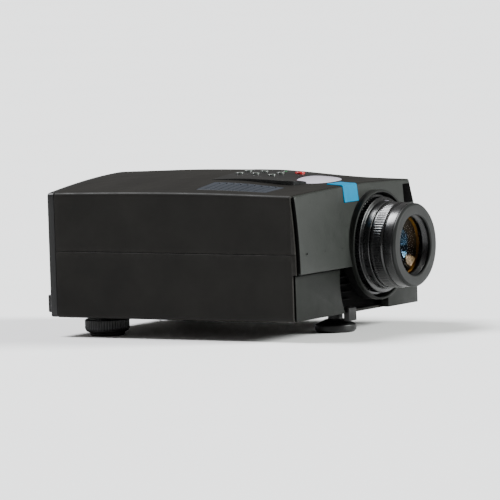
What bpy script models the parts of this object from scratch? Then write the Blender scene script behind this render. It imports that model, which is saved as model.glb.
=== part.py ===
"""Portable data projector, modelled as an assembly of separate pieces.

Metres, +Z up. The lens looks along -Y, the control side is +Z, and z = 0 is the table top.
X is centred on the case, and Y is centred between the lens tip and the rear ledge.
"""
import math

import bmesh
import bpy
from mathutils import Matrix, Vector

MM = 0.001

# Driving dimensions, in millimetres
CASE_W = 247.0          # outside width of the case
CASE_L = 308.0          # front plane to the back of the rear band
CASE_Z0 = 21.0          # underside of the case above the table
EDGE_Z = 154.0          # top of the side walls at front and rear
PARTING_Z = 92.0        # joint between the lower and the upper case
WALL = 2.6
GAP = 0.35              # clearance between touching pieces
LENS_OUT = 50.0         # lens tip in front of the front plane
LEDGE_OUT = 5.0         # rear ledge behind the rear band
FRONT_Y = -(CASE_L + LEDGE_OUT - LENS_OUT) / 2
REAR_Y = FRONT_Y + CASE_L
BAND = 9.0              # depth of the rear band
SHELL_Y0 = FRONT_Y + 4.0
SHELL_Y1 = REAR_Y - BAND
HALF_W = CASE_W / 2
CORNER_R = 4.0

# Crown of the top
CROWN_FRONT = 3.5
CROWN_RISE = 10.5
CROWN_RISE_LENGTH = 120.0
CROWN_REAR_DROP = 1.5
CROWN_POWER = 1.6
CROWN_X = 20.0          # the ridge of the crown lies right of centre
EDGE_ARCH = 2.0

# Lens
LENS_X = 41.5
LENS_Z = 90.0
COLLAR_R = 58.5
TUBE_R = 42.0
RING_CLEAR = 0.5

# Feet
FRONT_FOOT = (1.0, FRONT_Y + 28.0)
REAR_FOOT_X = 90.0
REAR_FOOT_Y = FRONT_Y + 258.0

# Front
BEZEL_LEFT = -HALF_W + 4.0
BEZEL_RIGHT = HALF_W - 1.0
BEZEL_Z0 = CASE_Z0 + 49.8
BEZEL_T = 2.9
BEZEL_LEAN = 4.5        # how far the bottom of the bezel stands in front of its top
CHASSIS_Y = FRONT_Y + 12.0

# Controls
THROUGH_TOP = (140.0, 190.0)    # heights below and above the top, for openings through it
DECK_LEFT = -56.0
DECK_RIGHT = 44.0
DECK_BACK = FRONT_Y + 142.0
DECK_SHOULDER = (-50.0, FRONT_Y + 43.5)   # near front corner, beside the pad
DECK_OVER = 0.3         # height of the deck above the crown round the buttons
DECK_T = 2.9
DECK_LIFT = 4.6         # extra height of its near front corner, because the deck is flatter than the crown
DECK_LIFT_X = -12.0     # the extra height grows from here to the near edge
BUTTON_XS = (-15.0, 3.0)
BUTTON_YS = tuple(FRONT_Y + y for y in (92.0, 112.0, 132.0))
BUTTON_R = 4.6
POWER_XY = (20.0, FRONT_Y + 78.0)
PAD_XY = (6.0, FRONT_Y + 46.0)
PAD_AXES = (36.0, 18.0)
PAD_CLEAR = 0.6
PAD_PROUD = 1.0         # height of the pad above the crown
STATUS_XY = (20.0, FRONT_Y + 96.0)
GRILLE_BOX = (-107.0, -69.0, FRONT_Y + 43.0, FRONT_Y + 130.0)
GRILLE_SLOTS = 9

# Light path
PRISM_Y = -62.0
PRISM = 32.0
SPLIT_Y = 20.0          # line that the lamp shines along
BLUE_X = -4.0
RED_X = 92.0
LAMP_X = -82.0
LAMP_SCREW = (LAMP_X, SPLIT_Y + 38)

# Centres of the rear fittings, as X and Z
INLET = (86.0, 64.0)
SWITCH = (56.0, 64.0)
PORT = (18.0, 64.0)
JACK = (-12.0, 64.0)
FAN_CENTRE = (-66.0, 86.0)
FAN_BLADES = 7

# Exhaust slots in the rear panel
EXHAUST_X = (-102.0, -30.0)
EXHAUST_Z0 = 50.0
EXHAUST_PITCH = 8.0

FINISHES = {
    "case": ((0.022, 0.021, 0.019), 0.5, 0.0),
    "bezel": ((0.045, 0.047, 0.044), 0.5, 0.0),
    "black": ((0.008, 0.008, 0.009), 0.35, 0.0),
    "rubber": ((0.012, 0.012, 0.012), 0.8, 0.0),
    "accent": ((0.0, 0.36, 0.62), 0.35, 0.0),
    "window": ((0.004, 0.003, 0.004), 0.08, 0.0),
    "silver": ((0.52, 0.5, 0.55), 0.25, 0.4),
    "button": ((0.03, 0.03, 0.032), 0.3, 0.0),
    "red": ((0.55, 0.02, 0.02), 0.3, 0.0),
    "green": ((0.05, 0.5, 0.1), 0.3, 0.0),
    "grille": ((0.13, 0.14, 0.17), 0.5, 0.0),
    "glass": ((0.6, 0.65, 0.75), 0.02, 0.0),
    "mirror": ((0.6, 0.7, 0.9), 0.05, 0.9),
    "metal": ((0.6, 0.6, 0.6), 0.35, 1.0),
    "magnesium": ((0.3, 0.31, 0.32), 0.5, 0.8),
    "board": ((0.02, 0.16, 0.06), 0.5, 0.0),
    "foam": ((0.05, 0.05, 0.055), 0.95, 0.0),
    "ceramic": ((0.8, 0.78, 0.72), 0.5, 0.0),
    "brass": ((0.75, 0.55, 0.22), 0.3, 1.0),
}


# ---------------------------------------------------------------- helpers

def clear_scene():
    for obj in list(bpy.data.objects):
        bpy.data.objects.remove(obj, do_unlink=True)


def finish(name):
    material = bpy.data.materials.get(name)
    if material is None:
        colour, roughness, metallic = FINISHES[name]
        material = bpy.data.materials.new(name)
        material.use_nodes = True
        shader = material.node_tree.nodes["Principled BSDF"]
        shader.inputs["Base Color"].default_value = (*colour, 1.0)
        shader.inputs["Roughness"].default_value = roughness
        shader.inputs["Metallic"].default_value = metallic
        material.diffuse_color = (*colour, 1.0)
    return material


def add_object(name, bm, finish_name, origin=(0, 0, 0), smooth=False):
    """Turn a bmesh in world millimetres into an object whose origin is at origin."""
    shift = Vector(origin)
    for vert in bm.verts:
        vert.co = (vert.co - shift) * MM
    bmesh.ops.recalc_face_normals(bm, faces=bm.faces)
    mesh = bpy.data.meshes.new(name)
    bm.to_mesh(mesh)
    bm.free()
    if smooth:
        mesh.shade_smooth()
        mesh.set_sharp_from_angle(angle=math.radians(35))
    obj = bpy.data.objects.new(name, mesh)
    obj.location = shift * MM
    bpy.context.collection.objects.link(obj)
    if finish_name:
        mesh.materials.append(finish(finish_name))
    return obj


def as_cutter(obj):
    obj.hide_render = True
    obj.display_type = "WIRE"
    return obj


def combine(target, tool, operation):
    modifier = target.modifiers.new(operation.title(), "BOOLEAN")
    modifier.operation = operation
    modifier.solver = "EXACT"
    modifier.object = as_cutter(tool)
    return target


def cut(target, *tools):
    for tool in tools:
        combine(target, tool, "DIFFERENCE")
    return target


def join(target, *tools):
    for tool in tools:
        combine(target, tool, "UNION")
    return target


def box_mesh(x0, x1, y0, y1, z0, z1):
    bm = bmesh.new()
    bmesh.ops.create_cube(bm, size=1.0)
    size = Vector((x1 - x0, y1 - y0, z1 - z0))
    middle = Vector((x0 + x1, y0 + y1, z0 + z1)) / 2
    for vert in bm.verts:
        vert.co = Vector(a * b for a, b in zip(vert.co, size)) + middle
    return bm


def box(name, extent, finish_name=None, bevel=0.0, origin=(0, 0, 0)):
    bm = box_mesh(*extent)
    if bevel:
        bmesh.ops.bevel(bm, geom=bm.edges[:], offset=bevel, segments=1, affect="EDGES")
    return add_object(name, bm, finish_name, origin)


def skin_loops(loops, closed_ring=False):
    """Bridge loops of equal length; the first and last are capped unless the ring closes."""
    bm = bmesh.new()
    rows = [[bm.verts.new(point) for point in loop] for loop in loops]
    pairs = list(zip(rows, rows[1:]))
    if closed_ring:
        pairs.append((rows[-1], rows[0]))
    for first, second in pairs:
        count = len(first)
        for i in range(count):
            j = (i + 1) % count
            bm.faces.new((first[i], first[j], second[j], second[i]))
    if not closed_ring:
        bm.faces.new(rows[0])
        bm.faces.new(reversed(rows[-1]))
    return bm


def turned(name, profile, finish_name, place, facing="z", segments=40, ribs=None, origin=None):
    """Turn a closed profile of (radius, height) about an axis through place.

    facing "z" points the height up, "-y" points it to the front, and "x" to the right. ribs is
    (first, last, depth): the profile points in that range go in by depth on every other pair of
    segments, which makes grip ribs. Points of radius 0 must be the first and the last.
    """
    capped = profile[0][0] == 0
    ring = profile[1:-1] if capped else profile
    loops = []
    for step in range(segments):
        angle = 2 * math.pi * step / segments
        loop = []
        for index, (radius, height) in enumerate(ring):
            if ribs and ribs[0] <= index <= ribs[1] and step % 2:
                radius -= ribs[2]
            loop.append(Vector((radius * math.cos(angle), radius * math.sin(angle), height)))
        loops.append(loop)
    bm = bmesh.new()
    rows = [[bm.verts.new(point) for point in loop] for loop in loops]
    count = len(ring)
    last = count - 1 if capped else count
    for step in range(segments):
        first, second = rows[step], rows[(step + 1) % segments]
        for i in range(last):
            j = (i + 1) % count
            bm.faces.new((first[i], second[i], second[j], first[j]))
    if capped:
        for height, i in ((profile[0][1], 0), (profile[-1][1], count - 1)):
            pole = bm.verts.new((0, 0, height))
            for step in range(segments):
                bm.faces.new((pole, rows[step][i], rows[(step + 1) % segments][i]))
    turn = {
        "z": Matrix.Identity(4),
        "-y": Matrix.Rotation(math.radians(90), 4, "X"),
        "x": Matrix.Rotation(math.radians(90), 4, "Y"),
    }[facing]
    bmesh.ops.transform(bm, matrix=Matrix.Translation(Vector(place)) @ turn, verts=bm.verts)
    return add_object(name, bm, finish_name, origin or place, smooth=True)


def prism(name, outline, axis, start, stop, finish_name=None, origin=(0, 0, 0)):
    """Extrude an outline along axis "x", "y" or "z" from start to stop."""
    place = {
        "x": lambda a, b, c: (c, a, b),
        "y": lambda a, b, c: (a, c, b),
        "z": lambda a, b, c: (a, b, c),
    }[axis]
    loops = [[place(a, b, level) for a, b in outline] for level in (start, stop)]
    return add_object(name, skin_loops(loops), finish_name, origin)


def arc(centre, radius, start, stop, count):
    """Points on an arc, angles in degrees."""
    points = []
    for i in range(count + 1):
        angle = math.radians(start + (stop - start) * i / count)
        points.append((centre[0] + radius * math.cos(angle), centre[1] + radius * math.sin(angle)))
    return points


def ease(t):
    t = min(max(t, 0.0), 1.0)
    return t * t * (3 - 2 * t)


# ---------------------------------------------------------------- shape of the top

def edge_height(y):
    return EDGE_Z + EDGE_ARCH * math.sin(math.pi * min(max((y - FRONT_Y) / CASE_L, 0), 1))


def crown(y):
    back = y - FRONT_Y
    rise = CROWN_RISE * ease(back / CROWN_RISE_LENGTH)
    drop = CROWN_REAR_DROP * ease((back - 200.0) / (CASE_L - 200.0))
    return CROWN_FRONT + rise - drop


def top_height(x, y):
    reach = HALF_W - CROWN_X if x > CROWN_X else HALF_W + CROWN_X
    across = min(abs(x - CROWN_X) / reach, 1.0)
    return edge_height(y) + crown(y) * (1 - across ** CROWN_POWER)


def arch_outline(y, inset, bottom, columns=10):
    """Open outline in X and Z: up one side, over the crowned top, down the other side."""
    half = HALF_W - inset
    radius = max(CORNER_R - inset, 1.0)
    shoulder = half - radius
    top = [(x, top_height(x, y) - inset) for x in
           (-shoulder + 2 * shoulder * i / columns for i in range(columns + 1))]
    corner_z = top[0][1] - radius
    left = [(-shoulder + dx, corner_z + dz) for dx, dz in arc((0, 0), radius, 180, 90, 3)][:-1]
    right = [(-x, z) for x, z in reversed(left)]
    return [(-half, bottom)] + left + top + right + [(half, bottom)]


def crowned_slab(name, extent, over, thickness, finish_name=None, columns=8, rows=6, surface=top_height):
    """A plate that follows a surface, with its upper face over above it."""
    x0, x1, y0, y1 = extent
    loops = []
    for row in range(rows + 1):
        y = y0 + (y1 - y0) * row / rows
        xs = [x0 + (x1 - x0) * i / columns for i in range(columns + 1)]
        upper = [(x, y, surface(x, y) + over) for x in xs]
        lower = [(x, y, surface(x, y) + over - thickness) for x in reversed(xs)]
        loops.append(upper + lower)
    return add_object(name, skin_loops(loops), finish_name)


def deck_height(x, y):
    """Upper face of the control deck: on the crown at its rear, above it at the near front corner."""
    near = min(max((DECK_LIFT_X - x) / (DECK_LIFT_X - DECK_LEFT), 0.0), 1.0)
    fore = min(max((DECK_BACK - y) / (DECK_BACK - DECK_SHOULDER[1]), 0.0), 1.0)
    return top_height(x, y) + DECK_OVER + DECK_LIFT * near * fore


def deck_outline(clearance):
    """Plan of the control deck; its front edge follows the pad's rear half."""
    half_x, half_y = [a + PAD_CLEAR - clearance for a in PAD_AXES]
    past_end = 8.0 * clearance
    hug = []
    for step in range(15):
        angle = math.radians(197.0 + past_end - (197.0 + 2 * past_end) * step / 14)
        hug.append((PAD_XY[0] + half_x * math.cos(angle), PAD_XY[1] + half_y * math.sin(angle)))
    left, right, back = DECK_LEFT - clearance, DECK_RIGHT + clearance, DECK_BACK + clearance
    near = [(left, back), (left, DECK_SHOULDER[1] + 10.0), [v - clearance for v in DECK_SHOULDER]]
    return near + hug + [(right, PAD_XY[1] - clearance), (right, back)]


def bezel_face(z):
    """Y of the front face of the bezel at height z."""
    return FRONT_Y - BEZEL_LEAN * (EDGE_Z - 9.0 - z) / (EDGE_Z - 9.0 - BEZEL_Z0)


# ---------------------------------------------------------------- casing

def make_upper_case():
    loops = []
    steps = 8
    for step in range(steps + 1):
        y = SHELL_Y0 + (SHELL_Y1 - SHELL_Y0) * step / steps
        outer = arch_outline(y, 0.0, PARTING_Z + GAP / 2)
        inner = arch_outline(y, WALL, PARTING_Z + GAP / 2)
        loops.append([(x, y, z) for x, z in outer + inner[::-1]])
    case = add_object("upper_case", skin_loops(loops), "case", smooth=True)
    x0, x1, y0, y1 = GRILLE_BOX
    cut(case, box("grille_opening", (x0 - GAP, x1 + GAP, y0 - GAP, y1 + GAP, *THROUGH_TOP)))
    cut(case, prism("deck_opening", deck_outline(GAP), "z", *THROUGH_TOP))
    cut(case, pill("pad_opening", PAD_XY, [a + PAD_CLEAR for a in PAD_AXES], *THROUGH_TOP))
    return cut(case, accent_shape("accent_notch_case", GAP))


def pill(name, centre, axes, z0, z1, finish_name=None, count=28):
    outline = [(centre[0] + axes[0] * math.cos(2 * math.pi * i / count),
                centre[1] + axes[1] * math.sin(2 * math.pi * i / count)) for i in range(count)]
    return prism(name, outline, "z", z0, z1, finish_name)


def make_lower_case():
    half = HALF_W
    top = PARTING_Z - GAP / 2
    outer = [(-half, top), (-half, CASE_Z0 + 3), (-half + 3, CASE_Z0),
             (half - 3, CASE_Z0), (half, CASE_Z0 + 3), (half, top)]
    inside = half - WALL
    floor = CASE_Z0 + WALL
    inner = [(inside, top), (inside, floor), (-inside, floor), (-inside, top)]
    case = prism("lower_case", outer + inner, "y", SHELL_Y0, SHELL_Y1, "case")
    z0, z1 = CASE_Z0 - 5, CASE_Z0 + 8
    cut(case, turned("foot_hole", ((0, z0), (9.0, z0), (9.0, z1), (0, z1)), None, (*FRONT_FOOT, 0)))
    for side, sign in (("left", -1), ("right", 1)):
        hole = ((0, z0), (7.0, z0), (7.0, z1), (0, z1))
        centre = (sign * REAR_FOOT_X, REAR_FOOT_Y, 0)
        cut(case, turned(f"rear_foot_hole_{side}", hole, None, centre, segments=24))
    x0, x1, y0, y1 = lamp_door_extent()
    cut(case, box("lamp_opening", (x0 - GAP, x1 + GAP, y0 - GAP, y1 + GAP, z0, z1)))
    cut(case, box("front_notch", (BEZEL_LEFT - 0.4, BEZEL_RIGHT + 0.4, SHELL_Y0 - 5, FRONT_Y + 7.0, z0, z1)))
    side_notch = (HALF_W - WALL - 0.5, BEZEL_RIGHT + 0.4, SHELL_Y0 - 5, FRONT_Y + 7.0, z0, BEZEL_Z0)
    cut(case, box("side_notch", side_notch))
    cut(case, box("release_slot", (-15.0, 3.0, SHELL_Y0 - 5, SHELL_Y0 + 7.6, z0, z1)))
    for index in range(5):
        x = -100.0 + 12.0 * index
        cut(case, box(f"intake_slot_{index}", (x, x + 5.0, FRONT_Y + 45, FRONT_Y + 85, z0, z1)))
    return case


def make_front_bezel():
    """Leaning plate with the round lens collar standing out of it."""
    top = [(x, z) for x, z in arch_outline(SHELL_Y0, 0.4, 0.0, columns=12)[1:-1]]
    span = (BEZEL_RIGHT - BEZEL_LEFT) / (CASE_W - 0.8)
    middle = (BEZEL_RIGHT + BEZEL_LEFT) / 2
    rim = [(middle + x * span, z - 0.6) for x, z in top]
    outline = [(BEZEL_LEFT, BEZEL_Z0)] + rim + [(BEZEL_RIGHT, BEZEL_Z0)]
    loops = []
    for offset in (0.0, BEZEL_T):
        loops.append([(x, bezel_face(z) + offset, z) for x, z in outline])
    bezel = add_object("front_bezel", skin_loops(loops), "bezel")
    hole_r = COLLAR_R - 1.5
    hole = ((0, -30), (hole_r, -30), (hole_r, 30), (0, 30))
    cut(bezel, turned("bezel_hole", hole, None, (LENS_X, FRONT_Y, LENS_Z), "-y", 44))
    bore = COLLAR_R - 3.0
    collar = ((COLLAR_R, -7.0), (COLLAR_R, 7.2), (COLLAR_R - 1.0, 8.0), (bore, 8.0), (bore, -7.0))
    join(bezel, turned("bezel_collar", collar, None, (LENS_X, FRONT_Y, LENS_Z), "-y", 44))
    cut(bezel, accent_shape("accent_notch_bezel", GAP), window_shape("window_notch", GAP))
    return bezel


def accent_shape(name, clearance, finish_name=None):
    """L-shaped tab over the top front edge."""
    back = FRONT_Y + 21.0 + clearance
    low = EDGE_Z - 14.7 - clearance
    lip = top_height(0, SHELL_Y0)
    crest = top_height(0, back)
    over, under = 0.6 + clearance, 1.3 + clearance
    outline = [(bezel_face(low) - over, low), (bezel_face(lip) - over, lip + over - 0.6), (SHELL_Y0, lip + over),
               (back, crest + over), (back, crest - under), (bezel_face(lip) + under, lip - under - 0.6),
               (bezel_face(low) + under, low)]
    return prism(name, outline, "x", -20.5 - clearance, 8.2 + clearance, finish_name)


def window_shape(name, clearance, finish_name=None):
    """Dark window let into the bezel's upper corner."""
    low, high = 130.0 - clearance, 149.5 + clearance
    over, under = 0.4 + 3 * clearance, 1.8 + clearance
    outline = [(bezel_face(low) - over, low), (bezel_face(high) - over, high),
               (bezel_face(high) + under, high), (bezel_face(low) + under, low)]
    right = BEZEL_RIGHT - 1.6 + clearance
    return prism(name, outline, "x", 102.5 - clearance, right, finish_name)


def make_front_lower():
    """The filter door left of the lens and the fixed panel right of it."""
    y0, y1 = FRONT_Y + 3.5, FRONT_Y + 6.5
    z0, z1 = CASE_Z0 + 0.5, BEZEL_Z0 - 1.4
    edge = arc((LENS_X, CASE_Z0 + 35.0), 69.0, 168.7, 210, 8)
    left = BEZEL_LEFT + 2.2
    outline = [(left, z0), (left, z1)] + [(x, min(max(z, z0), z1)) for x, z in edge]
    prism("filter_door", outline, "y", y0, y1, "bezel")
    panel = box("lower_front_panel", (60.0, BEZEL_RIGHT, y0 - 6.5, y1, z0, z1), "bezel")
    radius = COLLAR_R + 1.2
    clear = ((0, -30), (radius, -30), (radius, 30), (0, 30))
    cut(panel, turned("collar_clearance", clear, None, (LENS_X, FRONT_Y, LENS_Z), "-y", 44))


def make_front_chassis():
    """Black wall behind the bezel that carries the lens."""
    half = HALF_W - WALL - 1.0
    wall = box("front_chassis", (-half, half, CHASSIS_Y, CHASSIS_Y + 2.5, CASE_Z0 + WALL + 0.4, 148.0), "black")
    hole = ((0, -30), (TUBE_R + 0.6, -30), (TUBE_R + 0.6, 30), (0, 30))
    cut(wall, turned("lens_port", hole, None, (LENS_X, FRONT_Y, LENS_Z), "-y", 48))
    cut(wall, box("filter_port", (-108.0, -38.0, CHASSIS_Y - 5, CHASSIS_Y + 8, CASE_Z0 + 10, CASE_Z0 + 42)))
    return wall


def make_rear_panel():
    outer = arch_outline(SHELL_Y1, 0.3, CASE_Z0 + 0.3)
    loops = [[(x, y, z) for x, z in outer] for y in (SHELL_Y1 + GAP, REAR_Y)]
    panel = add_object("rear_panel", skin_loops(loops), "case")
    inner = arch_outline(SHELL_Y1, WALL + 0.3, CASE_Z0 + WALL)
    loops = [[(x, y, z) for x, z in inner] for y in (SHELL_Y1 - 2, REAR_Y - 3.0)]
    cut(panel, add_object("rear_hollow", skin_loops(loops), None))
    ledge = box_mesh(-HALF_W + 3, HALF_W - 3, REAR_Y - 1.5, REAR_Y + LEDGE_OUT, CASE_Z0 + 5, CASE_Z0 + 24)
    bmesh.ops.bevel(ledge, geom=ledge.edges[:], offset=1.2, segments=1, affect="EDGES")
    join(panel, add_object("rear_ledge", ledge, None))
    back = (REAR_Y - 8, REAR_Y + 8)
    for index in range(9):
        z = EXHAUST_Z0 + EXHAUST_PITCH * index
        cut(panel, box(f"exhaust_slot_{index}", (*EXHAUST_X, *back, z, z + EXHAUST_PITCH / 2)))
    cut(panel, box("inlet_hole", (INLET[0] - 14.4, INLET[0] + 14.4, *back, INLET[1] - 11.4, INLET[1] + 11.4)))
    x, z = SWITCH
    cut(panel, box("switch_hole", (x - 7.4, x + 7.4, *back, z - 10.4, z + 10.4)))
    cut(panel, box("port_hole", (PORT[0] - 16.4, PORT[0] + 16.4, *back, PORT[1] - 6.9, PORT[1] + 6.9)))
    hole = ((0, -12), (5.4, -12), (5.4, 12), (0, 12))
    cut(panel, turned("jack_hole", hole, None, (JACK[0], REAR_Y, JACK[1]), "-y", 18))
    return panel


# ---------------------------------------------------------------- controls

def make_controls():
    panel = prism("control_panel", deck_outline(0.0), "z", *THROUGH_TOP, "black")
    around = (DECK_LEFT - 6, DECK_RIGHT + 6, DECK_SHOULDER[1] - 10, DECK_BACK + 6)
    cut(panel, crowned_slab("deck_lid", around, 30.0, 30.0, columns=9, rows=9, surface=deck_height))
    cut(panel, crowned_slab("deck_base", around, DECK_OVER - DECK_T, 40.0, columns=9, rows=9))
    index = 0
    for x in BUTTON_XS:
        for y in BUTTON_YS:
            index += 1
            round_button(f"button_{index}", x, y, BUTTON_R, 1.2, "button", panel)
    round_button("power_button", *POWER_XY, 5.2, 1.6, "red", panel)
    round_button("status_light", *STATUS_XY, 2.0, 0.3, "green", panel)
    pad = pill("navigation_pad", PAD_XY, PAD_AXES, top_height(*PAD_XY) - 12.0, THROUGH_TOP[1], "silver")
    over_pad = (PAD_XY[0] - 50, PAD_XY[0] + 50, PAD_XY[1] - 30, PAD_XY[1] + 30)
    cut(pad, crowned_slab("pad_lid", over_pad, PAD_PROUD + 40.0, 40.0, rows=10))


def round_button(name, x, y, radius, over, finish_name, panel):
    top = deck_height(x, y) + over
    profile = ((0, -7.0), (radius, -7.0), (radius, -0.7), (radius - 0.8, 0), (0, 0))
    turned(name, profile, finish_name, (x, y, top), segments=14)
    hole = ((0, -20), (radius + 0.5, -20), (radius + 0.5, 20), (0, 20))
    cut(panel, turned(f"{name}_hole", hole, None, (x, y, top), segments=14))


def make_speaker():
    grille = crowned_slab("speaker_grille", GRILLE_BOX, -0.5, 2.0, "grille", columns=2, rows=6)
    x0, x1, y0, y1 = GRILLE_BOX
    pitch = (y1 - y0) / GRILLE_SLOTS
    for index in range(GRILLE_SLOTS):
        y = y0 + pitch * (index + 0.5)
        cut(grille, box(f"grille_slot_{index}", (x0 + 4, x1 - 4, y - 2.0, y + 2.0, 140.0, 180.0)))
    profile = (
        (0, 0.0), (14.0, 0.0), (14.0, 10.0), (24.0, 18.0),
        (24.0, 20.0), (20.0, 20.0), (6.0, 12.0), (0, 14.0),
    )
    turned("speaker", profile, "black", ((x0 + x1) / 2, (y0 + y1) / 2, 128.0), segments=20)


# ---------------------------------------------------------------- feet

def make_feet():
    profile = ((0, 0), (20.0, 0), (22.0, 3.0), (22.0, 8.0), (11.0, 13.5), (8.0, 13.5), (8.0, 58.0), (0, 58.0))
    turned("front_foot", profile, "black", (*FRONT_FOOT, 0), segments=28)
    prism("foot_release", [(SHELL_Y0 - 2.2, 12.8), (SHELL_Y0 - 2.2, 19.0), (SHELL_Y0 - 0.6, 27.0),
                           (SHELL_Y0 + 5.0, 27.0), (SHELL_Y0 + 5.0, 12.8)],
          "x", -14.0, 2.0, "black")
    for side, sign in (("left", -1), ("right", 1)):
        place = (sign * REAR_FOOT_X, REAR_FOOT_Y, 0)
        pad = ((0, 0), (17.0, 0), (18.5, 1.2), (18.5, 3.0), (0, 3.0))
        turned(f"rear_foot_{side}_pad", pad, "rubber", place, segments=24)
        dial = ((0, 3.3), (19.0, 3.3), (22.5, 5.0), (24.0, 8.0), (24.0, 17.0), (22.5, 18.0),
                (6.0, 18.0), (6.0, 46.0), (0, 46.0))
        turned(f"rear_foot_{side}_dial", dial, "black", place, segments=32, ribs=(2, 3, 1.0))


# ---------------------------------------------------------------- lens

def make_lens():
    """Heights in these profiles are distances in front of the front plane."""
    place = (LENS_X, FRONT_Y, LENS_Z)
    barrel = ((TUBE_R, 33.5), (TUBE_R, 2.0), (54.0, 2.0), (54.0, -11.5), (TUBE_R, -11.5), (TUBE_R, -35.0),
              (37.0, -35.0), (37.0, -34.0), (38.6, -34.0), (38.6, 33.5))
    turned("lens_barrel", barrel, "black", place, "-y", 40)
    bore = TUBE_R + RING_CLEAR
    zoom = ((bore, 2.5), (50.2, 2.5), (51.0, 3.3), (51.0, 9.6), (50.2, 10.4), (46.8, 11.0), (46.8, 18.6),
            (46.0, 19.4), (bore, 19.4))
    turned("zoom_ring", zoom, "black", place, "-y", 48, ribs=(1, 4, 0.9))
    focus = ((bore, 19.9), (44.0, 19.9), (45.6, 21.0), (45.6, 33.0), (44.6, 35.0), (bore, 35.0))
    turned("focus_ring", focus, "black", place, "-y", 48, ribs=(2, 3, 0.8))
    cell = ((44.2, 35.5), (44.6, 36.2), (44.6, 47.6), (42.6, 49.8), (41.6, 50.0), (33.2, 50.0), (31.5, 48.6),
            (30.5, 42.2), (33.6, 42.2), (33.6, 22.0), (38.0, 22.0), (38.0, 35.5))
    turned("front_cell", cell, "black", place, "-y", 40)
    turned("front_glass", lens_profile(33.2, 33.0, 38.5, 3.2, 0.0), "glass", place, "-y", 28)
    turned("zoom_group", lens_profile(37.8, -9.0, 2.0, 3.5, 1.5), "glass", place, "-y", 28)
    turned("rear_glass", lens_profile(38.2, -33.5, -27.0, 3.0, 0.0), "glass", place, "-y", 28)


def lens_profile(radius, back, front, bulge_front, bulge_back, count=3):
    """Closed profile of a lens: domed faces meeting a cylindrical edge."""
    def dome(level, bulge):
        return [(radius * i / count, level + bulge * (1 - (i / count) ** 2)) for i in range(count + 1)]
    rear = dome(back, -bulge_back)
    return tuple(rear + dome(front, bulge_front)[::-1])


# ---------------------------------------------------------------- light engine

def tilted_plate(name, centre, width, height, thickness, degrees, finish_name):
    bm = box_mesh(-width / 2, width / 2, -thickness / 2, thickness / 2, -height / 2, height / 2)
    matrix = Matrix.Translation(Vector(centre)) @ Matrix.Rotation(math.radians(degrees), 4, "Z")
    bmesh.ops.transform(bm, matrix=matrix, verts=bm.verts)
    return add_object(name, bm, finish_name)


def make_light_engine():
    half = PRISM / 2
    box("optics_tray", (-26.0, 114.0, PRISM_Y - half - 12, SPLIT_Y + 32, 66.0, 69.0), "magnesium", 0.6)
    box("prism_block", (LENS_X - half, LENS_X + half, PRISM_Y - half, PRISM_Y + half, 72.0, 108.0), "glass", 0.4)
    gate = half + 4.0
    box("lcd_green", (LENS_X - 20, LENS_X + 20, PRISM_Y + gate, PRISM_Y + gate + 3, 70.0, 108.0), "black")
    box("lcd_blue", (LENS_X - gate - 3, LENS_X - gate, PRISM_Y - 20, PRISM_Y + 20, 70.0, 108.0), "black")
    box("lcd_red", (LENS_X + gate, LENS_X + gate + 3, PRISM_Y - 20, PRISM_Y + 20, 70.0, 108.0), "black")
    size = (40.0, 40.0, 1.2)
    tilted_plate("dichroic_blue", (BLUE_X, SPLIT_Y, LENS_Z), *size, 45, "mirror")
    tilted_plate("dichroic_green", (LENS_X, SPLIT_Y, LENS_Z), *size, 45, "mirror")
    tilted_plate("mirror_red_rear", (RED_X, SPLIT_Y, LENS_Z), *size, 45, "mirror")
    tilted_plate("mirror_blue", (BLUE_X, PRISM_Y, LENS_Z), 30.0, 40.0, 1.2, -45, "mirror")
    tilted_plate("mirror_red_front", (RED_X, PRISM_Y, LENS_Z), 30.0, 40.0, 1.2, 45, "mirror")
    place = (-38.0, SPLIT_Y, LENS_Z)
    turned("condenser_lens", lens_profile(19.5, -3.0, 0.0, 5.0, 0.0), "glass", place, "x", 24)


def make_lamp():
    x0, x1 = LAMP_X - 30, LAMP_X + 30
    y0, y1 = SPLIT_Y - 31, SPLIT_Y + 31
    housing = box("lamp_housing", (x0, x1, y0, y1, 50.0, 126.0), "magnesium", 1.0)
    cut(housing, box("lamp_bay", (x0 + 3, x1 + 5, y0 + 3, y1 - 3, 45.0, 122.0)))
    bowl = ((7.0, -24.0), (10.0, -24.0), (19.0, -12.0), (24.0, 2.0), (26.0, 14.0), (24.2, 14.0), (21.5, 2.0),
            (16.5, -11.0), (7.0, -21.0))
    turned("lamp_reflector", bowl, "mirror", (LAMP_X, SPLIT_Y, LENS_Z), "x", 24)
    burner = ((0, -27.0), (5.0, -27.0), (5.0, -14.0), (2.6, -12.0), (2.6, -2.0), (4.6, 1.5), (2.6, 5.0),
              (1.6, 12.0), (0, 12.0))
    turned("lamp_burner", burner, "ceramic", (LAMP_X, SPLIT_Y, LENS_Z), "x", 14)
    dx0, dx1, dy0, dy1 = lamp_door_extent()
    door = box("lamp_door", (dx0, dx1, dy0, dy1, CASE_Z0, CASE_Z0 + 2.4), "case")
    hole = ((0, 0), (2.5, 0), (2.5, 40), (0, 40))
    cut(door, turned("screw_hole", hole, None, (*LAMP_SCREW, 0), segments=16))
    screw = ((0, 16.0), (6.0, 16.0), (6.0, CASE_Z0 - 0.4), (2.1, CASE_Z0 - 0.4), (2.1, 34.0), (0, 34.0))
    turned("lamp_door_screw", screw, "metal", (*LAMP_SCREW, 0), segments=16)


def lamp_door_extent():
    return (LAMP_X - 29, LAMP_X + 29, SPLIT_Y - 33, SPLIT_Y + 45)


# ---------------------------------------------------------------- electronics and air

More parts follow.
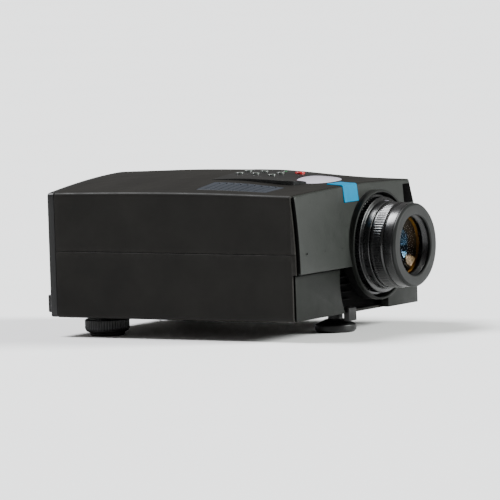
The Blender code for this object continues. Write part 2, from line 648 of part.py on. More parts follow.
def make_boards():
    supply = box("power_supply", (0.0, 80.0, 62.0, 140.0, 30.0, 31.6), "board")
    for index, (x, y, size, height) in enumerate(((20.0, 84.0, 26.0, 28.0), (58.0, 84.0, 32.0, 24.0),
                                                  (20.0, 120.0, 22.0, 20.0), (58.0, 120.0, 24.0, 18.0))):
        half = size / 2
        join(supply, box(f"supply_part_{index}", (x - half, x + half, y - half, y + half, 31.0, 31.0 + height)))
    main = box("main_board", (-25.0, 112.0, -72.0, 148.0, 136.0, 137.6), "board")
    for index, y in enumerate((-30.0, 20.0, 70.0, 115.0)):
        join(main, box(f"main_chip_{index}", (20.0, 48.0, y - 14, y + 14, 137.0, 140.4)))
    box("ballast", (-114.0, -56.0, 74.0, 112.0, 30.0, 60.0), "metal", 1.5)


def make_fan():
    x, z = FAN_CENTRE
    y0, y1 = SHELL_Y1 - 28.0, SHELL_Y1 - 3.0
    frame = box("exhaust_fan_frame", (x - 40, x + 40, y0, y1, z - 40, z + 40), "black", 1.0)
    wind = ((0, -30), (38.0, -30), (38.0, 30), (0, 30))
    cut(frame, turned("fan_duct", wind, None, (x, (y0 + y1) / 2, z), "-y", 32))
    for index, (width, height) in enumerate(((80.0, 4.0), (4.0, 80.0))):
        spider = box(f"fan_spider_{index}", (x - width / 2 + 0.6, x + width / 2 - 0.6, y1 - 4, y1 - 0.6,
                                             z - height / 2 + 0.6, z + height / 2 - 0.6))
        join(frame, spider)
    motor = ((0, 0), (16.0, 0), (16.0, 3.4), (0, 3.4))
    join(frame, turned("fan_motor_seat", motor, None, (x, y1 - 0.6, z), "-y", 24))
    middle = (x, (y0 + y1) / 2, z)
    hub = ((0, -6.0), (17.0, -6.0), (17.0, 9.0), (15.5, 10.0), (0, 10.0))
    impeller = turned("exhaust_impeller", hub, "black", middle, "-y", 20)
    for index in range(FAN_BLADES):
        bm = box_mesh(14.0, 36.5, -0.8, 0.8, -7.5, 7.5)
        around = Matrix.Rotation(2 * math.pi * index / FAN_BLADES, 4, "Y")
        turn = around @ Matrix.Rotation(math.radians(38), 4, "X")
        bmesh.ops.transform(bm, matrix=Matrix.Translation(Vector(middle)) @ turn, verts=bm.verts)
        blade = add_object(f"fan_blade_{index}", bm, None)
        join(impeller, blade)


def make_filter():
    y0 = FRONT_Y + 7.2
    box("air_filter", (-110.0, -36.0, y0, CHASSIS_Y - 0.5, CASE_Z0 + 8, CASE_Z0 + 44), "foam", 0.5)


def make_rear_fittings():
    x, z = INLET
    inlet = box("mains_inlet", (x - 14, x + 14, REAR_Y - 26, REAR_Y + 0.6, z - 11, z + 11), "black")
    cut(inlet, box("inlet_cavity", (x - 11.5, x + 11.5, REAR_Y - 16, REAR_Y + 5, z - 8, z + 8)))
    for index, (dx, dz) in enumerate(((-7.0, -2.0), (0.0, 2.6), (7.0, -2.0))):
        extent = (x + dx - 1, x + dx + 1, REAR_Y - 17, REAR_Y - 4, z + dz - 2, z + dz + 2)
        pin = box(f"inlet_pin_{index}", extent)
        join(inlet, pin)
    x, z = SWITCH
    pivot = (x, REAR_Y - 4.0, z)
    rocker = [(REAR_Y + 0.2, z - 9.4), (REAR_Y + 2.4, z - 9.2), (REAR_Y + 0.9, z), (REAR_Y - 0.3, z + 9.4),
              (REAR_Y - 6.0, z + 7.0), (REAR_Y - 6.0, z - 7.0)]
    prism("power_switch", rocker, "x", x - 6.5, x + 6.5, "red", pivot)
    x, z = PORT
    shell = [(x - 15.5, z + 6.0), (x + 15.5, z + 6.0), (x + 14.0, z - 6.0), (x - 14.0, z - 6.0)]
    port = prism("computer_port", shell, "y", REAR_Y - 12, REAR_Y + 2.5, "metal")
    inner = [(x - 11.0, z + 4.4), (x + 11.0, z + 4.4), (x + 9.6, z - 4.4), (x - 9.6, z - 4.4)]
    cut(port, prism("port_cavity", inner, "y", REAR_Y - 6.5, REAR_Y + 8))
    jack = ((1.6, 8.0), (1.6, -5.0), (5.0, -5.0), (5.0, 4.0), (4.0, 8.0))
    turned("video_jack", jack, "brass", (JACK[0], REAR_Y - 1.0, JACK[1]), "-y", 18)


def main():
    clear_scene()
    make_upper_case()
    make_lower_case()
    make_front_bezel()
    accent_shape("accent_tab", 0.0, "accent")
    window_shape("remote_window", 0.0, "window")
    make_front_lower()
    make_front_chassis()
    make_rear_panel()
    make_controls()
    make_speaker()
    make_feet()
    make_lens()
    make_light_engine()
    make_lamp()
    make_boards()
    make_fan()
    make_filter()
    make_rear_fittings()


main()
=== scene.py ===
"""The looks of the data projector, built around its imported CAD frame."""
import math

import bmesh
import bpy
from mathutils import Matrix, Vector


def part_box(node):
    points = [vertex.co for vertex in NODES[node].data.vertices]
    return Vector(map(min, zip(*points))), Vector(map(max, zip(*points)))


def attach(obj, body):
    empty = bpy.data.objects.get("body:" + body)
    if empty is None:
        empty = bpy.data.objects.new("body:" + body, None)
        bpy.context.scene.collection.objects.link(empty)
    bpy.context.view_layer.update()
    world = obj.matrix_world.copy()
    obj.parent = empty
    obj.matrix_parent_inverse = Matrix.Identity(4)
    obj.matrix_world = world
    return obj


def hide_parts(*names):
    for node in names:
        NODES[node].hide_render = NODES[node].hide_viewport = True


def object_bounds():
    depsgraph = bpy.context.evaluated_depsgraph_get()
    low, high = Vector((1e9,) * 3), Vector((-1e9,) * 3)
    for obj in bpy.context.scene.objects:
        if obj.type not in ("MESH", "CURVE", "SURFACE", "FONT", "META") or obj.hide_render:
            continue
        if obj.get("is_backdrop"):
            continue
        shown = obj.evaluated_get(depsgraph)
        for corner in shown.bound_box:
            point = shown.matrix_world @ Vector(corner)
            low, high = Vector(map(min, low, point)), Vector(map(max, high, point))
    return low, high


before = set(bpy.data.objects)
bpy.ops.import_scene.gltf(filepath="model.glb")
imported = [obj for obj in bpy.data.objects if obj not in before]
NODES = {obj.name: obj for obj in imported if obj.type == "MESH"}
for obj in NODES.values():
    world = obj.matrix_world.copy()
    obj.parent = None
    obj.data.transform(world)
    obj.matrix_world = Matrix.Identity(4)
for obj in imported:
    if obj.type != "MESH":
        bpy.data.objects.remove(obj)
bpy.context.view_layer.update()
MM = 0.001


# ---------------------------------------------------------------- sizes read from the frame, in mm

def extent(node):
    """Lowest and highest corner of a CAD node, in millimetres."""
    low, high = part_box(node)
    return Vector(low) / MM, Vector(high) / MM


def centre(node):
    low, high = extent(node)
    return (low + high) / 2


upper_low, upper_high = extent("upper_case")
lower_low, lower_high = extent("lower_case")
bezel_low, bezel_high = extent("front_bezel")
rear_high = extent("rear_panel")[1]
door_low, door_high = extent("filter_door")
deck_low, deck_high = extent("control_panel")

HALF_W = upper_high.x
SHELL_Y0, SHELL_Y1 = upper_low.y, upper_high.y
FRONT_Y = SHELL_Y0 - 4.0
LEDGE_OUT = 5.0
REAR_Y = rear_high.y - LEDGE_OUT
CASE_L = REAR_Y - FRONT_Y
CASE_Z0 = lower_low.z
PARTING_Z = (lower_high.z + upper_low.z) / 2
GAP = 0.35                      # play about a piece that sits in an opening
PAD_CLEAR = 0.6                 # play about the oval pad
THROUGH_TOP = (140.0, 190.0)    # heights below and above the top, for openings through it
EDGE_Z = CASE_Z0 + 133.0
WALL = 2.6
CORNER_R = 4.0
LENS_X, LENS_Z = centre("front_cell").xz
LENS = (LENS_X, FRONT_Y, LENS_Z)
BEZEL_Z0 = CASE_Z0 + 49.8
BEZEL_LEAN = 4.5
BEZEL_TAPER = 4.0
FLANK_BACK = 3.8
COLLAR_R = 58.5

# The crowned top, as in the CAD model
CROWN_FRONT = 3.5
CROWN_RISE = 10.5
CROWN_RISE_LENGTH = 120.0
CROWN_REAR_DROP = 1.5
CROWN_POWER = 1.6
CROWN_X = 20.0
EDGE_ARCH = 2.0

# The control deck is flatter than the crown, so it rises towards its near front corner
DECK_LIFT = 4.6
DECK_LIFT_X = -12.0
DECK_FRONT = FRONT_Y + 43.5
DECK_OVER = 0.25


def ease(t):
    t = min(max(t, 0.0), 1.0)
    return t * t * (3 - 2 * t)


def top_height(x, y):
    back = y - FRONT_Y
    arch = EDGE_ARCH * math.sin(math.pi * min(max(back / CASE_L, 0), 1))
    rise = CROWN_RISE * ease(back / CROWN_RISE_LENGTH)
    drop = CROWN_REAR_DROP * ease((back - 200.0) / (CASE_L - 200.0))
    reach = HALF_W - CROWN_X if x > CROWN_X else HALF_W + CROWN_X
    across = min(abs(x - CROWN_X) / reach, 1.0)
    return EDGE_Z + arch + (CROWN_FRONT + rise - drop) * (1 - across ** CROWN_POWER)


def bezel_face(z):
    u = (z - BEZEL_Z0) / (EDGE_Z - 9.0 - BEZEL_Z0)
    return FRONT_Y - BEZEL_LEAN * (1 - max(u, 0.0) ** 2)


def deck_height(x, y):
    """Upper face of the control deck: on the crown at its rear, above it at the near front corner."""
    near = min(max((DECK_LIFT_X - x) / (DECK_LIFT_X - deck_low.x), 0.0), 1.0)
    fore = min(max((deck_high.y - y) / (deck_high.y - DECK_FRONT), 0.0), 1.0)
    return top_height(x, y) + DECK_OVER + DECK_LIFT * near * fore


# ---------------------------------------------------------------- materials

class Look:
    """A small helper that builds one procedural material."""

    def __init__(self, name):
        self.material = bpy.data.materials.new(name)
        self.material.use_nodes = True
        self.tree = self.material.node_tree
        self.shader = self.tree.nodes["Principled BSDF"]
        self.coords = self.tree.nodes.new("ShaderNodeTexCoord").outputs["Object"]

    def node(self, kind, **settings):
        made = self.tree.nodes.new(kind)
        for key, value in settings.items():
            setattr(made, key, value)
        return made

    def link(self, source, target):
        self.tree.links.new(source, target)

    def noise(self, scale, detail=3.0, stretch=None):
        made = self.node("ShaderNodeTexNoise")
        made.inputs["Scale"].default_value = scale
        made.inputs["Detail"].default_value = detail
        coords = self.coords
        if stretch:
            mapping = self.node("ShaderNodeMapping")
            mapping.inputs["Scale"].default_value = stretch
            self.link(coords, mapping.inputs["Vector"])
            coords = mapping.outputs["Vector"]
        self.link(coords, made.inputs["Vector"])
        return made.outputs["Fac"]

    def ramp(self, source, low, high, out_low=0.0, out_high=1.0):
        made = self.node("ShaderNodeMapRange")
        made.inputs["From Min"].default_value = low
        made.inputs["From Max"].default_value = high
        made.inputs["To Min"].default_value = out_low
        made.inputs["To Max"].default_value = out_high
        self.link(source, made.inputs["Value"])
        return made.outputs["Result"]

    def mix(self, factor, first, second):
        made = self.node("ShaderNodeMix", data_type="RGBA")
        self.link(factor, made.inputs["Factor"])
        sockets = [s for s in made.inputs if s.type == "RGBA"]
        for socket, value in zip(sockets, (first, second)):
            if isinstance(value, tuple):
                socket.default_value = (*value, 1.0)
            else:
                self.link(value, socket)
        return [s for s in made.outputs if s.type == "RGBA"][0]

    def times(self, first, second):
        made = self.node("ShaderNodeMath", operation="MULTIPLY")
        self.link(first, made.inputs[0])
        self.link(second, made.inputs[1])
        return made.outputs["Value"]

    def bump(self, height, strength, distance, below=None):
        made = self.node("ShaderNodeBump")
        made.inputs["Strength"].default_value = strength
        made.inputs["Distance"].default_value = distance
        self.link(height, made.inputs["Height"])
        if below:
            self.link(below, made.inputs["Normal"])
        return made.outputs["Normal"]

    def edges(self, low=0.52, high=0.6):
        geometry = self.node("ShaderNodeNewGeometry")
        return self.ramp(geometry.outputs["Pointiness"], low, high)


def shade(colour, factor):
    return tuple(min(channel * factor, 1.0) for channel in colour)


def moulded(name, colour, roughness, grain=1500.0, depth=0.25, edge_wear_and_highlight=2.2, specular=0.4, uneven=0.18, coat=0.0):
    """Moulded or painted plastic: fine grain, faint mottling, uneven gloss, and lightened edges that stand
    for rubbing wear and also for painted edge highlights.
    """
    look = Look(name)
    mottle = look.ramp(look.noise(22.0, 5.0), 0.3, 0.7)
    base = look.mix(mottle, shade(colour, 1 - uneven), shade(colour, 1 + uneven))
    # Painted highlight in part: edges are lightened in patches, both as rubbing wear and as the highlights
    # that rounded edges catch.
    rubbed_and_highlit_edges = look.times(look.edges(), look.ramp(look.noise(160.0, 4.0), 0.35, 0.65))
    base = look.mix(rubbed_and_highlit_edges, base, shade(colour, edge_wear_and_highlight))
    look.link(base, look.shader.inputs["Base Color"])
    gloss = look.ramp(look.noise(60.0, 4.0), 0.3, 0.7, roughness - 0.05, roughness + 0.06)
    look.link(gloss, look.shader.inputs["Roughness"])
    waves = look.bump(look.noise(35.0, 2.0), 0.05, 0.0005)
    grained = look.bump(look.noise(grain, 2.0), depth, 0.00012, waves)
    look.link(grained, look.shader.inputs["Normal"])
    look.shader.inputs["Specular IOR Level"].default_value = specular
    look.shader.inputs["Coat Weight"].default_value = coat
    look.shader.inputs["Coat Roughness"].default_value = 0.15
    return look.material


def metal(name, colour, roughness, stretch=(1.0, 1.0, 14.0)):
    """Drawn or cast metal with streaks along one direction."""
    look = Look(name)
    streaks = look.noise(240.0, 4.0, stretch)
    base = look.mix(look.ramp(streaks, 0.3, 0.7), shade(colour, 0.82), shade(colour, 1.12))
    look.link(base, look.shader.inputs["Base Color"])
    gloss = look.ramp(streaks, 0.3, 0.7, roughness - 0.08, roughness + 0.1)
    look.link(gloss, look.shader.inputs["Roughness"])
    look.link(look.bump(streaks, 0.12, 0.0001), look.shader.inputs["Normal"])
    look.shader.inputs["Metallic"].default_value = 1.0
    return look.material


def glass(name, colour, roughness=0.02, film=0.0, ior=1.5):
    """Coated lens glass: clear body, faint smears in its gloss."""
    look = Look(name)
    smear = look.ramp(look.noise(45.0, 3.0), 0.4, 0.8, roughness, roughness + 0.05)
    look.link(smear, look.shader.inputs["Roughness"])
    tint = look.mix(look.noise(12.0, 2.0), shade(colour, 0.96), shade(colour, 1.04))
    look.link(tint, look.shader.inputs["Base Color"])
    look.shader.inputs["Transmission Weight"].default_value = 1.0
    look.shader.inputs["IOR"].default_value = ior
    if film:
        look.shader.inputs["Thin Film Thickness"].default_value = film
        look.shader.inputs["Thin Film IOR"].default_value = 1.9
    return look.material


def coated(name, colour, tint, roughness=0.06, specular=0.5):
    """Inner element whose coating throws coloured highlights; a bright base colour paints a coloured
    reflection into it.
    """
    look = Look(name)
    patches = look.ramp(look.noise(30.0, 2.0), 0.35, 0.65)
    look.link(look.mix(patches, shade(colour, 0.6), shade(colour, 1.4)), look.shader.inputs["Base Color"])
    look.link(look.ramp(look.noise(50.0, 2.0), 0.3, 0.7, roughness, roughness + 0.06),
              look.shader.inputs["Roughness"])
    look.shader.inputs["Specular IOR Level"].default_value = specular
    look.shader.inputs["Specular Tint"].default_value = (*tint, 1.0)
    return look.material


def foam(name):
    look = Look(name)
    cells = look.node("ShaderNodeTexVoronoi")
    cells.inputs["Scale"].default_value = 700.0
    look.link(look.coords, cells.inputs["Vector"])
    walls = look.ramp(cells.outputs["Distance"], 0.1, 0.7)
    base = look.mix(walls, (0.004, 0.004, 0.004), (0.06, 0.06, 0.065))
    look.link(base, look.shader.inputs["Base Color"])
    look.shader.inputs["Roughness"].default_value = 0.95
    look.link(look.bump(cells.outputs["Distance"], 0.8, 0.0006), look.shader.inputs["Normal"])
    return look.material


CASE = moulded("case_plastic", (0.0088, 0.0082, 0.0073), 0.5, specular=0.10)
# Partly painted light: lighter and greener than the case plastic. Part of the lift is the bezel's own tone,
# and part is painted light for its lit front.
BEZEL = moulded("bezel_plastic", (0.0135, 0.0152, 0.0135), 0.46, uneven=0.1, edge_wear_and_highlight=1.8, specular=0.2)
# Painted shade: a darker copy of the bezel plastic for the filter door, lower front plate and lens collar,
# which lie in shade.
SHADED_FRONT_PLASTIC = moulded("front_plastic_painted_shade", (0.0062, 0.0070, 0.0061), 0.48, uneven=0.1, edge_wear_and_highlight=1.8, specular=0.12)
BLACK = moulded("black_plastic", (0.005, 0.005, 0.0052), 0.42, edge_wear_and_highlight=3.0, specular=0.3)
# Painted shade: a black darker than the black plastic, given to parts inside gaps and recesses where shade
# falls.
SHADE_BLACK = moulded("painted_shade_black", (0.0022, 0.0022, 0.0022), 0.8, specular=0.05, edge_wear_and_highlight=1.5)
BAFFLE = moulded("baffle_black", (0.0012, 0.0012, 0.0012), 0.75, grain=300.0, depth=0.01, edge_wear_and_highlight=1.5,
                 specular=0.02)
PANEL = moulded("panel_plastic", (0.005, 0.0052, 0.0054), 0.36, depth=0.12, edge_wear_and_highlight=2.5, specular=0.18)
BUTTON = moulded("button_plastic", (0.045, 0.052, 0.047), 0.26, depth=0.06, edge_wear_and_highlight=2.0, coat=0.4)
SILVER = moulded("silver_paint", (0.50, 0.465, 0.55), 0.28, depth=0.06, uneven=0.05, edge_wear_and_highlight=1.3, coat=0.6)
RED = moulded("red_plastic", (0.33, 0.005, 0.008), 0.3, depth=0.05, edge_wear_and_highlight=1.4, coat=0.2, specular=0.3)
ACCENT = moulded("accent_plastic", (0.0, 0.135, 0.26), 0.5, depth=0.08, uneven=0.07, edge_wear_and_highlight=1.25, specular=0.04)
WINDOW = moulded("window_plastic", (0.0006, 0.0006, 0.0007), 0.12, depth=0.0, edge_wear_and_highlight=1.5, specular=0.06)
LIGHT = moulded("indicator_plastic", (0.012, 0.13, 0.035), 0.25, depth=0.02, edge_wear_and_highlight=1.2, coat=0.3)
GRILLE = moulded("grille_plastic", (0.019, 0.022, 0.029), 0.45, depth=0.1, edge_wear_and_highlight=2.0, specular=0.2)
RING = moulded("lens_black", (0.0042, 0.0042, 0.0046), 0.27, grain=2600.0, depth=0.12, edge_wear_and_highlight=4.0, specular=0.5)
FACE = moulded("lens_face", (0.0085, 0.0092, 0.0088), 0.42, grain=2600.0, depth=0.15, edge_wear_and_highlight=1.6, specular=0.2)
RUBBER = moulded("rubber", (0.010, 0.010, 0.010), 0.8, grain=900.0, depth=0.4, edge_wear_and_highlight=1.8, specular=0.25)
BOARD = moulded("board_resin", (0.012, 0.11, 0.04), 0.45, grain=400.0, depth=0.3, edge_wear_and_highlight=1.2)
CERAMIC = moulded("ceramic", (0.75, 0.73, 0.68), 0.5, edge_wear_and_highlight=1.1, uneven=0.05)
STEEL = metal("plated_steel", (0.55, 0.55, 0.56), 0.32)
ALLOY = metal("cast_alloy", (0.36, 0.37, 0.38), 0.5, (1.0, 1.0, 1.0))
BRASS = metal("plated_jack", (0.72, 0.56, 0.26), 0.28)
MIRROR = metal("mirror_coating", (0.72, 0.8, 0.88), 0.12, (1.0, 1.0, 1.0))
GLASS = glass("lens_glass", (0.97, 0.985, 1.0), ior=1.04)
PRISM = glass("prism_glass", (0.95, 0.97, 1.0), film=300.0)
# Painted reflection: the amber base colour stands for the amber reflection of a coated element, on the
# retaining ring and the rear element.
AMBER_REFLECTION_PAINT = coated("amber_painted_reflection", (0.09, 0.042, 0.006), (1.0, 0.55, 0.16), specular=0.8)
COAT_BLUE = coated("blue_coating", (0.0006, 0.002, 0.006), (0.1, 0.55, 1.0), 0.04, 0.2)
COAT_BRONZE = coated("bronze_coating", (0.0012, 0.0008, 0.0004), (1.0, 0.6, 0.25), 0.05, 0.07)
FOAM = foam("filter_foam")


# ---------------------------------------------------------------- mesh tools

def new_piece(name, bm, look, body, replaced=(), smooth=35.0):
    """A mesh in world millimetres becomes a piece that rides on a body."""
    for vert in bm.verts:
        vert.co *= MM
    bmesh.ops.recalc_face_normals(bm, faces=bm.faces)
    mesh = bpy.data.meshes.new(name)
    bm.to_mesh(mesh)
    bm.free()
    if smooth:
        mesh.shade_smooth()
        mesh.set_sharp_from_angle(angle=math.radians(smooth))
    piece = bpy.data.objects.new(name, mesh)
    bpy.context.scene.collection.objects.link(piece)
    if look:
        mesh.materials.append(look)
    if body:
        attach(piece, body)
        if replaced:
            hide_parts(*replaced)
    return piece


def carve(piece, cutters):
    """Cut a piece with meshes made in world millimetres, and apply the result."""
    tools = [new_piece(f"{piece.name}_tool", bm, None, None, smooth=None) for bm in cutters]
    for tool in tools:
        modifier = piece.modifiers.new("cut", "BOOLEAN")
        modifier.operation = "DIFFERENCE"
        modifier.solver = "EXACT"
        modifier.object = tool
    bpy.context.view_layer.update()
    graph = bpy.context.evaluated_depsgraph_get()
    result = bpy.data.meshes.new_from_object(piece.evaluated_get(graph))
    piece.modifiers.clear()
    old = piece.data
    piece.data = result
    bpy.data.meshes.remove(old)
    for tool in tools:
        bpy.data.objects.remove(tool)
    result.shade_smooth()
    result.set_sharp_from_angle(angle=math.radians(35.0))


def box(x0, x1, y0, y1, z0, z1, bevel=0.0, segments=3):
    bm = bmesh.new()
    bmesh.ops.create_cube(bm, size=1.0)
    size = Vector((x1 - x0, y1 - y0, z1 - z0))
    middle = Vector((x0 + x1, y0 + y1, z0 + z1)) / 2
    for vert in bm.verts:
        vert.co = Vector(a * b for a, b in zip(vert.co, size)) + middle
    if bevel:
        bmesh.ops.bevel(bm, geom=bm.edges[:], offset=bevel, segments=segments, profile=0.5, affect="EDGES")
    return bm


def node_box(node, bevel, segments=3):
    """The CAD box of a node, with rounded edges."""
    low, high = extent(node)
    return box(low.x, high.x, low.y, high.y, low.z, high.z, bevel, segments)


def merge(*parts):
    """Several meshes as one, kept as separate shells."""
    whole = bmesh.new()
    for part in parts:
        mesh = bpy.data.meshes.new("part")
        part.to_mesh(mesh)
        part.free()
        whole.from_mesh(mesh)
        bpy.data.meshes.remove(mesh)
    return whole


def loft(loops, capped=True):
    bm = bmesh.new()
    rows = [[bm.verts.new(point) for point in loop] for loop in loops]
    pairs = list(zip(rows, rows[1:]))
    if not capped:
        pairs.append((rows[-1], rows[0]))
    for first, second in pairs:
        count = len(first)
        for i in range(count):
            j = (i + 1) % count
            bm.faces.new((first[i], first[j], second[j], second[i]))
    if capped:
        bm.faces.new(rows[0])
        bm.faces.new(reversed(rows[-1]))
    return bm


def fillet(points, radius, steps=3, closed=True):
    """Round the corners of an outline; radius may be a list with one value for each corner."""
    count = len(points)
    radii = radius if isinstance(radius, (list, tuple)) else [radius] * count
    result = []
    for i, (here, r) in enumerate(zip(points, radii)):
        open_end = not closed and i in (0, count - 1)
        if not r or open_end:
            result.append(tuple(here))
            continue
        p = Vector(here)
        a = Vector(points[i - 1]) - p
        b = Vector(points[(i + 1) % count]) - p
        if a.length < 1e-6 or b.length < 1e-6:
            result.append(tuple(here))
            continue
        half = a.angle(b) / 2
        if half > math.radians(84):
            result.append(tuple(here))
            continue
        back = min(r / math.tan(half), a.length * 0.45, b.length * 0.45)
        start, stop = p + a.normalized() * back, p + b.normalized() * back
        for k in range(steps + 1):
            t = k / steps
            result.append(tuple(start * (1 - t) ** 2 + p * 2 * t * (1 - t) + stop * t ** 2))
    return result


def turned(profile, place, facing="-y", segments=96, ribs=None):
    """Turn a closed (radius, height) profile about an axis.

    ribs is (count, depth, low, high, band): between those heights, and within band of the largest
    radius, the surface goes in by depth in count rounded ribs. In a solid profile, points of radius 0
    come first and last.
    """
    capped = profile[0][0] == 0
    ring = profile[1:-1] if capped else profile
    bm = bmesh.new()
    rows = []
    outer = max(radius for radius, height in ring)
    for step in range(segments):
        angle = 2 * math.pi * step / segments
        row = []
        for radius, height in ring:
            if ribs and ribs[2] <= height <= ribs[3] and radius > outer - ribs[4]:
                wave = 0.5 + 0.5 * math.cos(angle * ribs[0])
                radius -= ribs[1] * (1 - wave ** 0.6)
            row.append(bm.verts.new((radius * math.cos(angle), radius * math.sin(angle), height)))
        rows.append(row)
    count = len(ring)
    last = count - 1 if capped else count
    for step in range(segments):
        first, second = rows[step], rows[(step + 1) % segments]
        for i in range(last):
            j = (i + 1) % count
            bm.faces.new((first[i], second[i], second[j], first[j]))
    if capped:
        for height, i in ((profile[0][1], 0), (profile[-1][1], count - 1)):
            pole = bm.verts.new((0, 0, height))
            for step in range(segments):
                bm.faces.new((pole, rows[step][i], rows[(step + 1) % segments][i]))
    turn = {"z": Matrix.Identity(4), "-y": Matrix.Rotation(math.radians(90), 4, "X"),
            "x": Matrix.Rotation(math.radians(90), 4, "Y")}[facing]
    bmesh.ops.transform(bm, matrix=Matrix.Translation(Vector(place)) @ turn, verts=bm.verts)
    return bm


def cylinder(place, radius, low, high, facing="-y", segments=64):
    return turned(((0, low), (radius, low), (radius, high), (0, high)), place, facing, segments)


def quarter_round(radius, segments=4):
    """(depth, inset) pairs that round the rim of an extrusion, from its end face inwards."""
    turns = [math.pi / 2 * k / segments for k in range(segments + 1)]
    return [(radius * (1 - math.sin(t)), radius * (1 - math.cos(t))) for t in reversed(turns)]


def prism(outline, axis, start, stop, bevel=0.0, segments=2):
    """Extrude an outline along an axis, with rounded end edges."""
    place = {
        "x": lambda a, b, c: (c, a, b),
        "y": lambda a, b, c: (a, c, b),
        "z": lambda a, b, c: (a, b, c),
    }[axis]
    levels = [(start, 0.0), (stop, 0.0)]
    if bevel:
        sign = 1 if stop > start else -1
        rim = quarter_round(bevel, segments)
        near = [(start + sign * depth, inset) for depth, inset in rim]
        far = [(stop - sign * depth, inset) for depth, inset in reversed(rim)]
        levels = near + far
    return loft([[place(a, b, level) for a, b in shrink(outline, inset)] for level, inset in levels])


def shrink(outline, inset):
    """Move an outline inwards along its corner normals."""
    if not inset:
        return outline
    count = len(outline)
    area = sum(outline[i - 1][0] * outline[i][1] - outline[i][0] * outline[i - 1][1] for i in range(count))
    sign = 1 if area > 0 else -1
    result = []
    for i, point in enumerate(outline):
        before = Vector(point) - Vector(outline[i - 1])
        after = Vector(outline[(i + 1) % count]) - Vector(point)
        if before.length < 1e-9 or after.length < 1e-9:
            result.append(point)
            continue
        n1 = Vector((-before.y, before.x)).normalized() * sign
        n2 = Vector((-after.y, after.x)).normalized() * sign
        middle = n1 + n2
        if middle.length < 1e-6:
            result.append(point)
            continue
        middle.normalize()
        reach = inset / max(middle.dot(n1), 0.35)
        result.append((point[0] + middle.x * reach, point[1] + middle.y * reach))
    return result


def spread(start, stop, count):
    return [start + (stop - start) * i / count for i in range(count + 1)]


def crowned(x_range, y_range, over, thickness, columns=24, rows=24, edge=0.8):
    """A plate that follows the top, with a softened rim."""
    x0, x1 = x_range
    y0, y1 = y_range
    loops = []
    for y in rounded_steps(y0, y1, rows, edge):
        upper, lower = [], []
        for x in rounded_steps(x0, x1, columns, edge):
            near = min(x - x0, x1 - x, y - y0, y1 - y)
            lip = edge - math.sqrt(max(edge ** 2 - (edge - min(near, edge)) ** 2, 0))
            upper.append((x, y, top_height(x, y) + over - lip))
            lower.append((x, y, top_height(x, y) + over - thickness))
        loops.append(upper + lower[::-1])
    return loft(loops)


def rounded_steps(start, stop, count, edge):
    """Even steps with extra ones close to both ends."""
    close = [start, start + edge * 0.1, start + edge * 0.35, start + edge]
    far = [start + stop - value for value in reversed(close)]
    return close + spread(start + edge, stop - edge, count)[1:-1] + far


# ---------------------------------------------------------------- casing

def arch_outline(y, inset, bottom, columns=60):
    """Up one side, over the crowned top and down the other; the ends at the bottom are chamfered."""
    half = HALF_W - inset
    radius = max(CORNER_R - inset, 1.0)
    shoulder = half - radius
    top = [(x, top_height(x, y) - inset) for x in spread(-shoulder, shoulder, columns)]
    corner_z = top[0][1] - radius
    left = []
    for k in range(8):
        angle = math.pi - math.pi / 2 * k / 8
        left.append((-shoulder + radius * math.cos(angle), corner_z + radius * math.sin(angle)))
    sides = [(-half, z) for z in spread(bottom, corner_z, 10)[1:-1]]
    low = [(-half + 0.5, bottom), (-half, bottom + 0.5)] if inset == 0 else [(-half, bottom)]
    run = low + sides + left
    right_corner_z = top[-1][1] - radius
    right = []
    for k in range(8):
        angle = math.pi / 2 - math.pi / 2 * (k + 1) / 8
        right.append((shoulder + radius * math.cos(angle), right_corner_z + radius * math.sin(angle)))
    right_sides = [(half, z) for z in spread(right_corner_z, bottom, 10)[1:-1]]
    right_low = [(half, bottom + 0.5), (half - 0.5, bottom)] if inset == 0 else [(half, bottom)]
    return run + top + right + right_sides + right_low


def shell_levels(y0, y1, rows, lip=0.7):
    """(y, inset) pairs of a shell whose two ends are rounded by lip."""
    rim = quarter_round(lip)
    near = [(y0 + depth, inset) for depth, inset in rim]
    far = [(y1 - depth, inset) for depth, inset in reversed(rim)]
    return near + [(y, 0.0) for y in spread(y0 + lip, y1 - lip, rows)[1:-1]] + far


def make_upper_case():
    loops = []
    for y, inset in shell_levels(SHELL_Y0, SHELL_Y1, 60):
        outer = shrink_open(arch_outline(y, 0.0, upper_low.z), inset)
        inner = arch_outline(y, WALL, upper_low.z)
        loops.append([(x, y, z) for x, z in outer + inner[::-1]])
    case = new_piece("upper_case_shell", loft(loops), CASE, "chassis", ["upper_case"])
    low, high = extent("speaker_grille")
    tools = [box(low.x - GAP, high.x + GAP, low.y - GAP, high.y + GAP, *THROUGH_TOP)]
    tools.append(prism(deck_outline(GAP), "z", *THROUGH_TOP))
    tools.append(prism(pad_outline(PAD_CLEAR), "z", *THROUGH_TOP))
    tools.append(accent_solid(GAP))
    carve(case, tools)
    # Painted shade: the lips behind the parting gap take the painted-shade black.
    for side in (-1, 1):
        xs = sorted((side * (HALF_W - WALL - 1.4), side * (HALF_W - WALL - 0.1)))
        lip = box(*xs, SHELL_Y0 + 2, SHELL_Y1 - 1, PARTING_Z - 4, PARTING_Z + 4)
        new_piece("parting_lip_left" if side < 0 else "parting_lip_right", lip, SHADE_BLACK, "chassis")


def deck_outline(clearance):
    """Plan of the control deck; its front edge follows the pad's rear half."""
    cx, cy, a, b = pad_ellipse(PAD_CLEAR - clearance)
    turns = spread(math.radians(197 + 8 * clearance), math.radians(-8 * clearance), 48)
    hug = [(cx + a * math.cos(t), cy + b * math.sin(t)) for t in turns]
    left, right, back = deck_low.x - clearance, deck_high.x + clearance, deck_high.y + clearance
    near = [(left, back), (left, DECK_FRONT + 10.0), (left + 6, DECK_FRONT - clearance)]
    far = [(right, cy - clearance), (right, back)]
    return fillet(near + hug + far, [2.0, 5.0, 4.0] + [0] * (len(hug) + 1) + [2.0], 5)


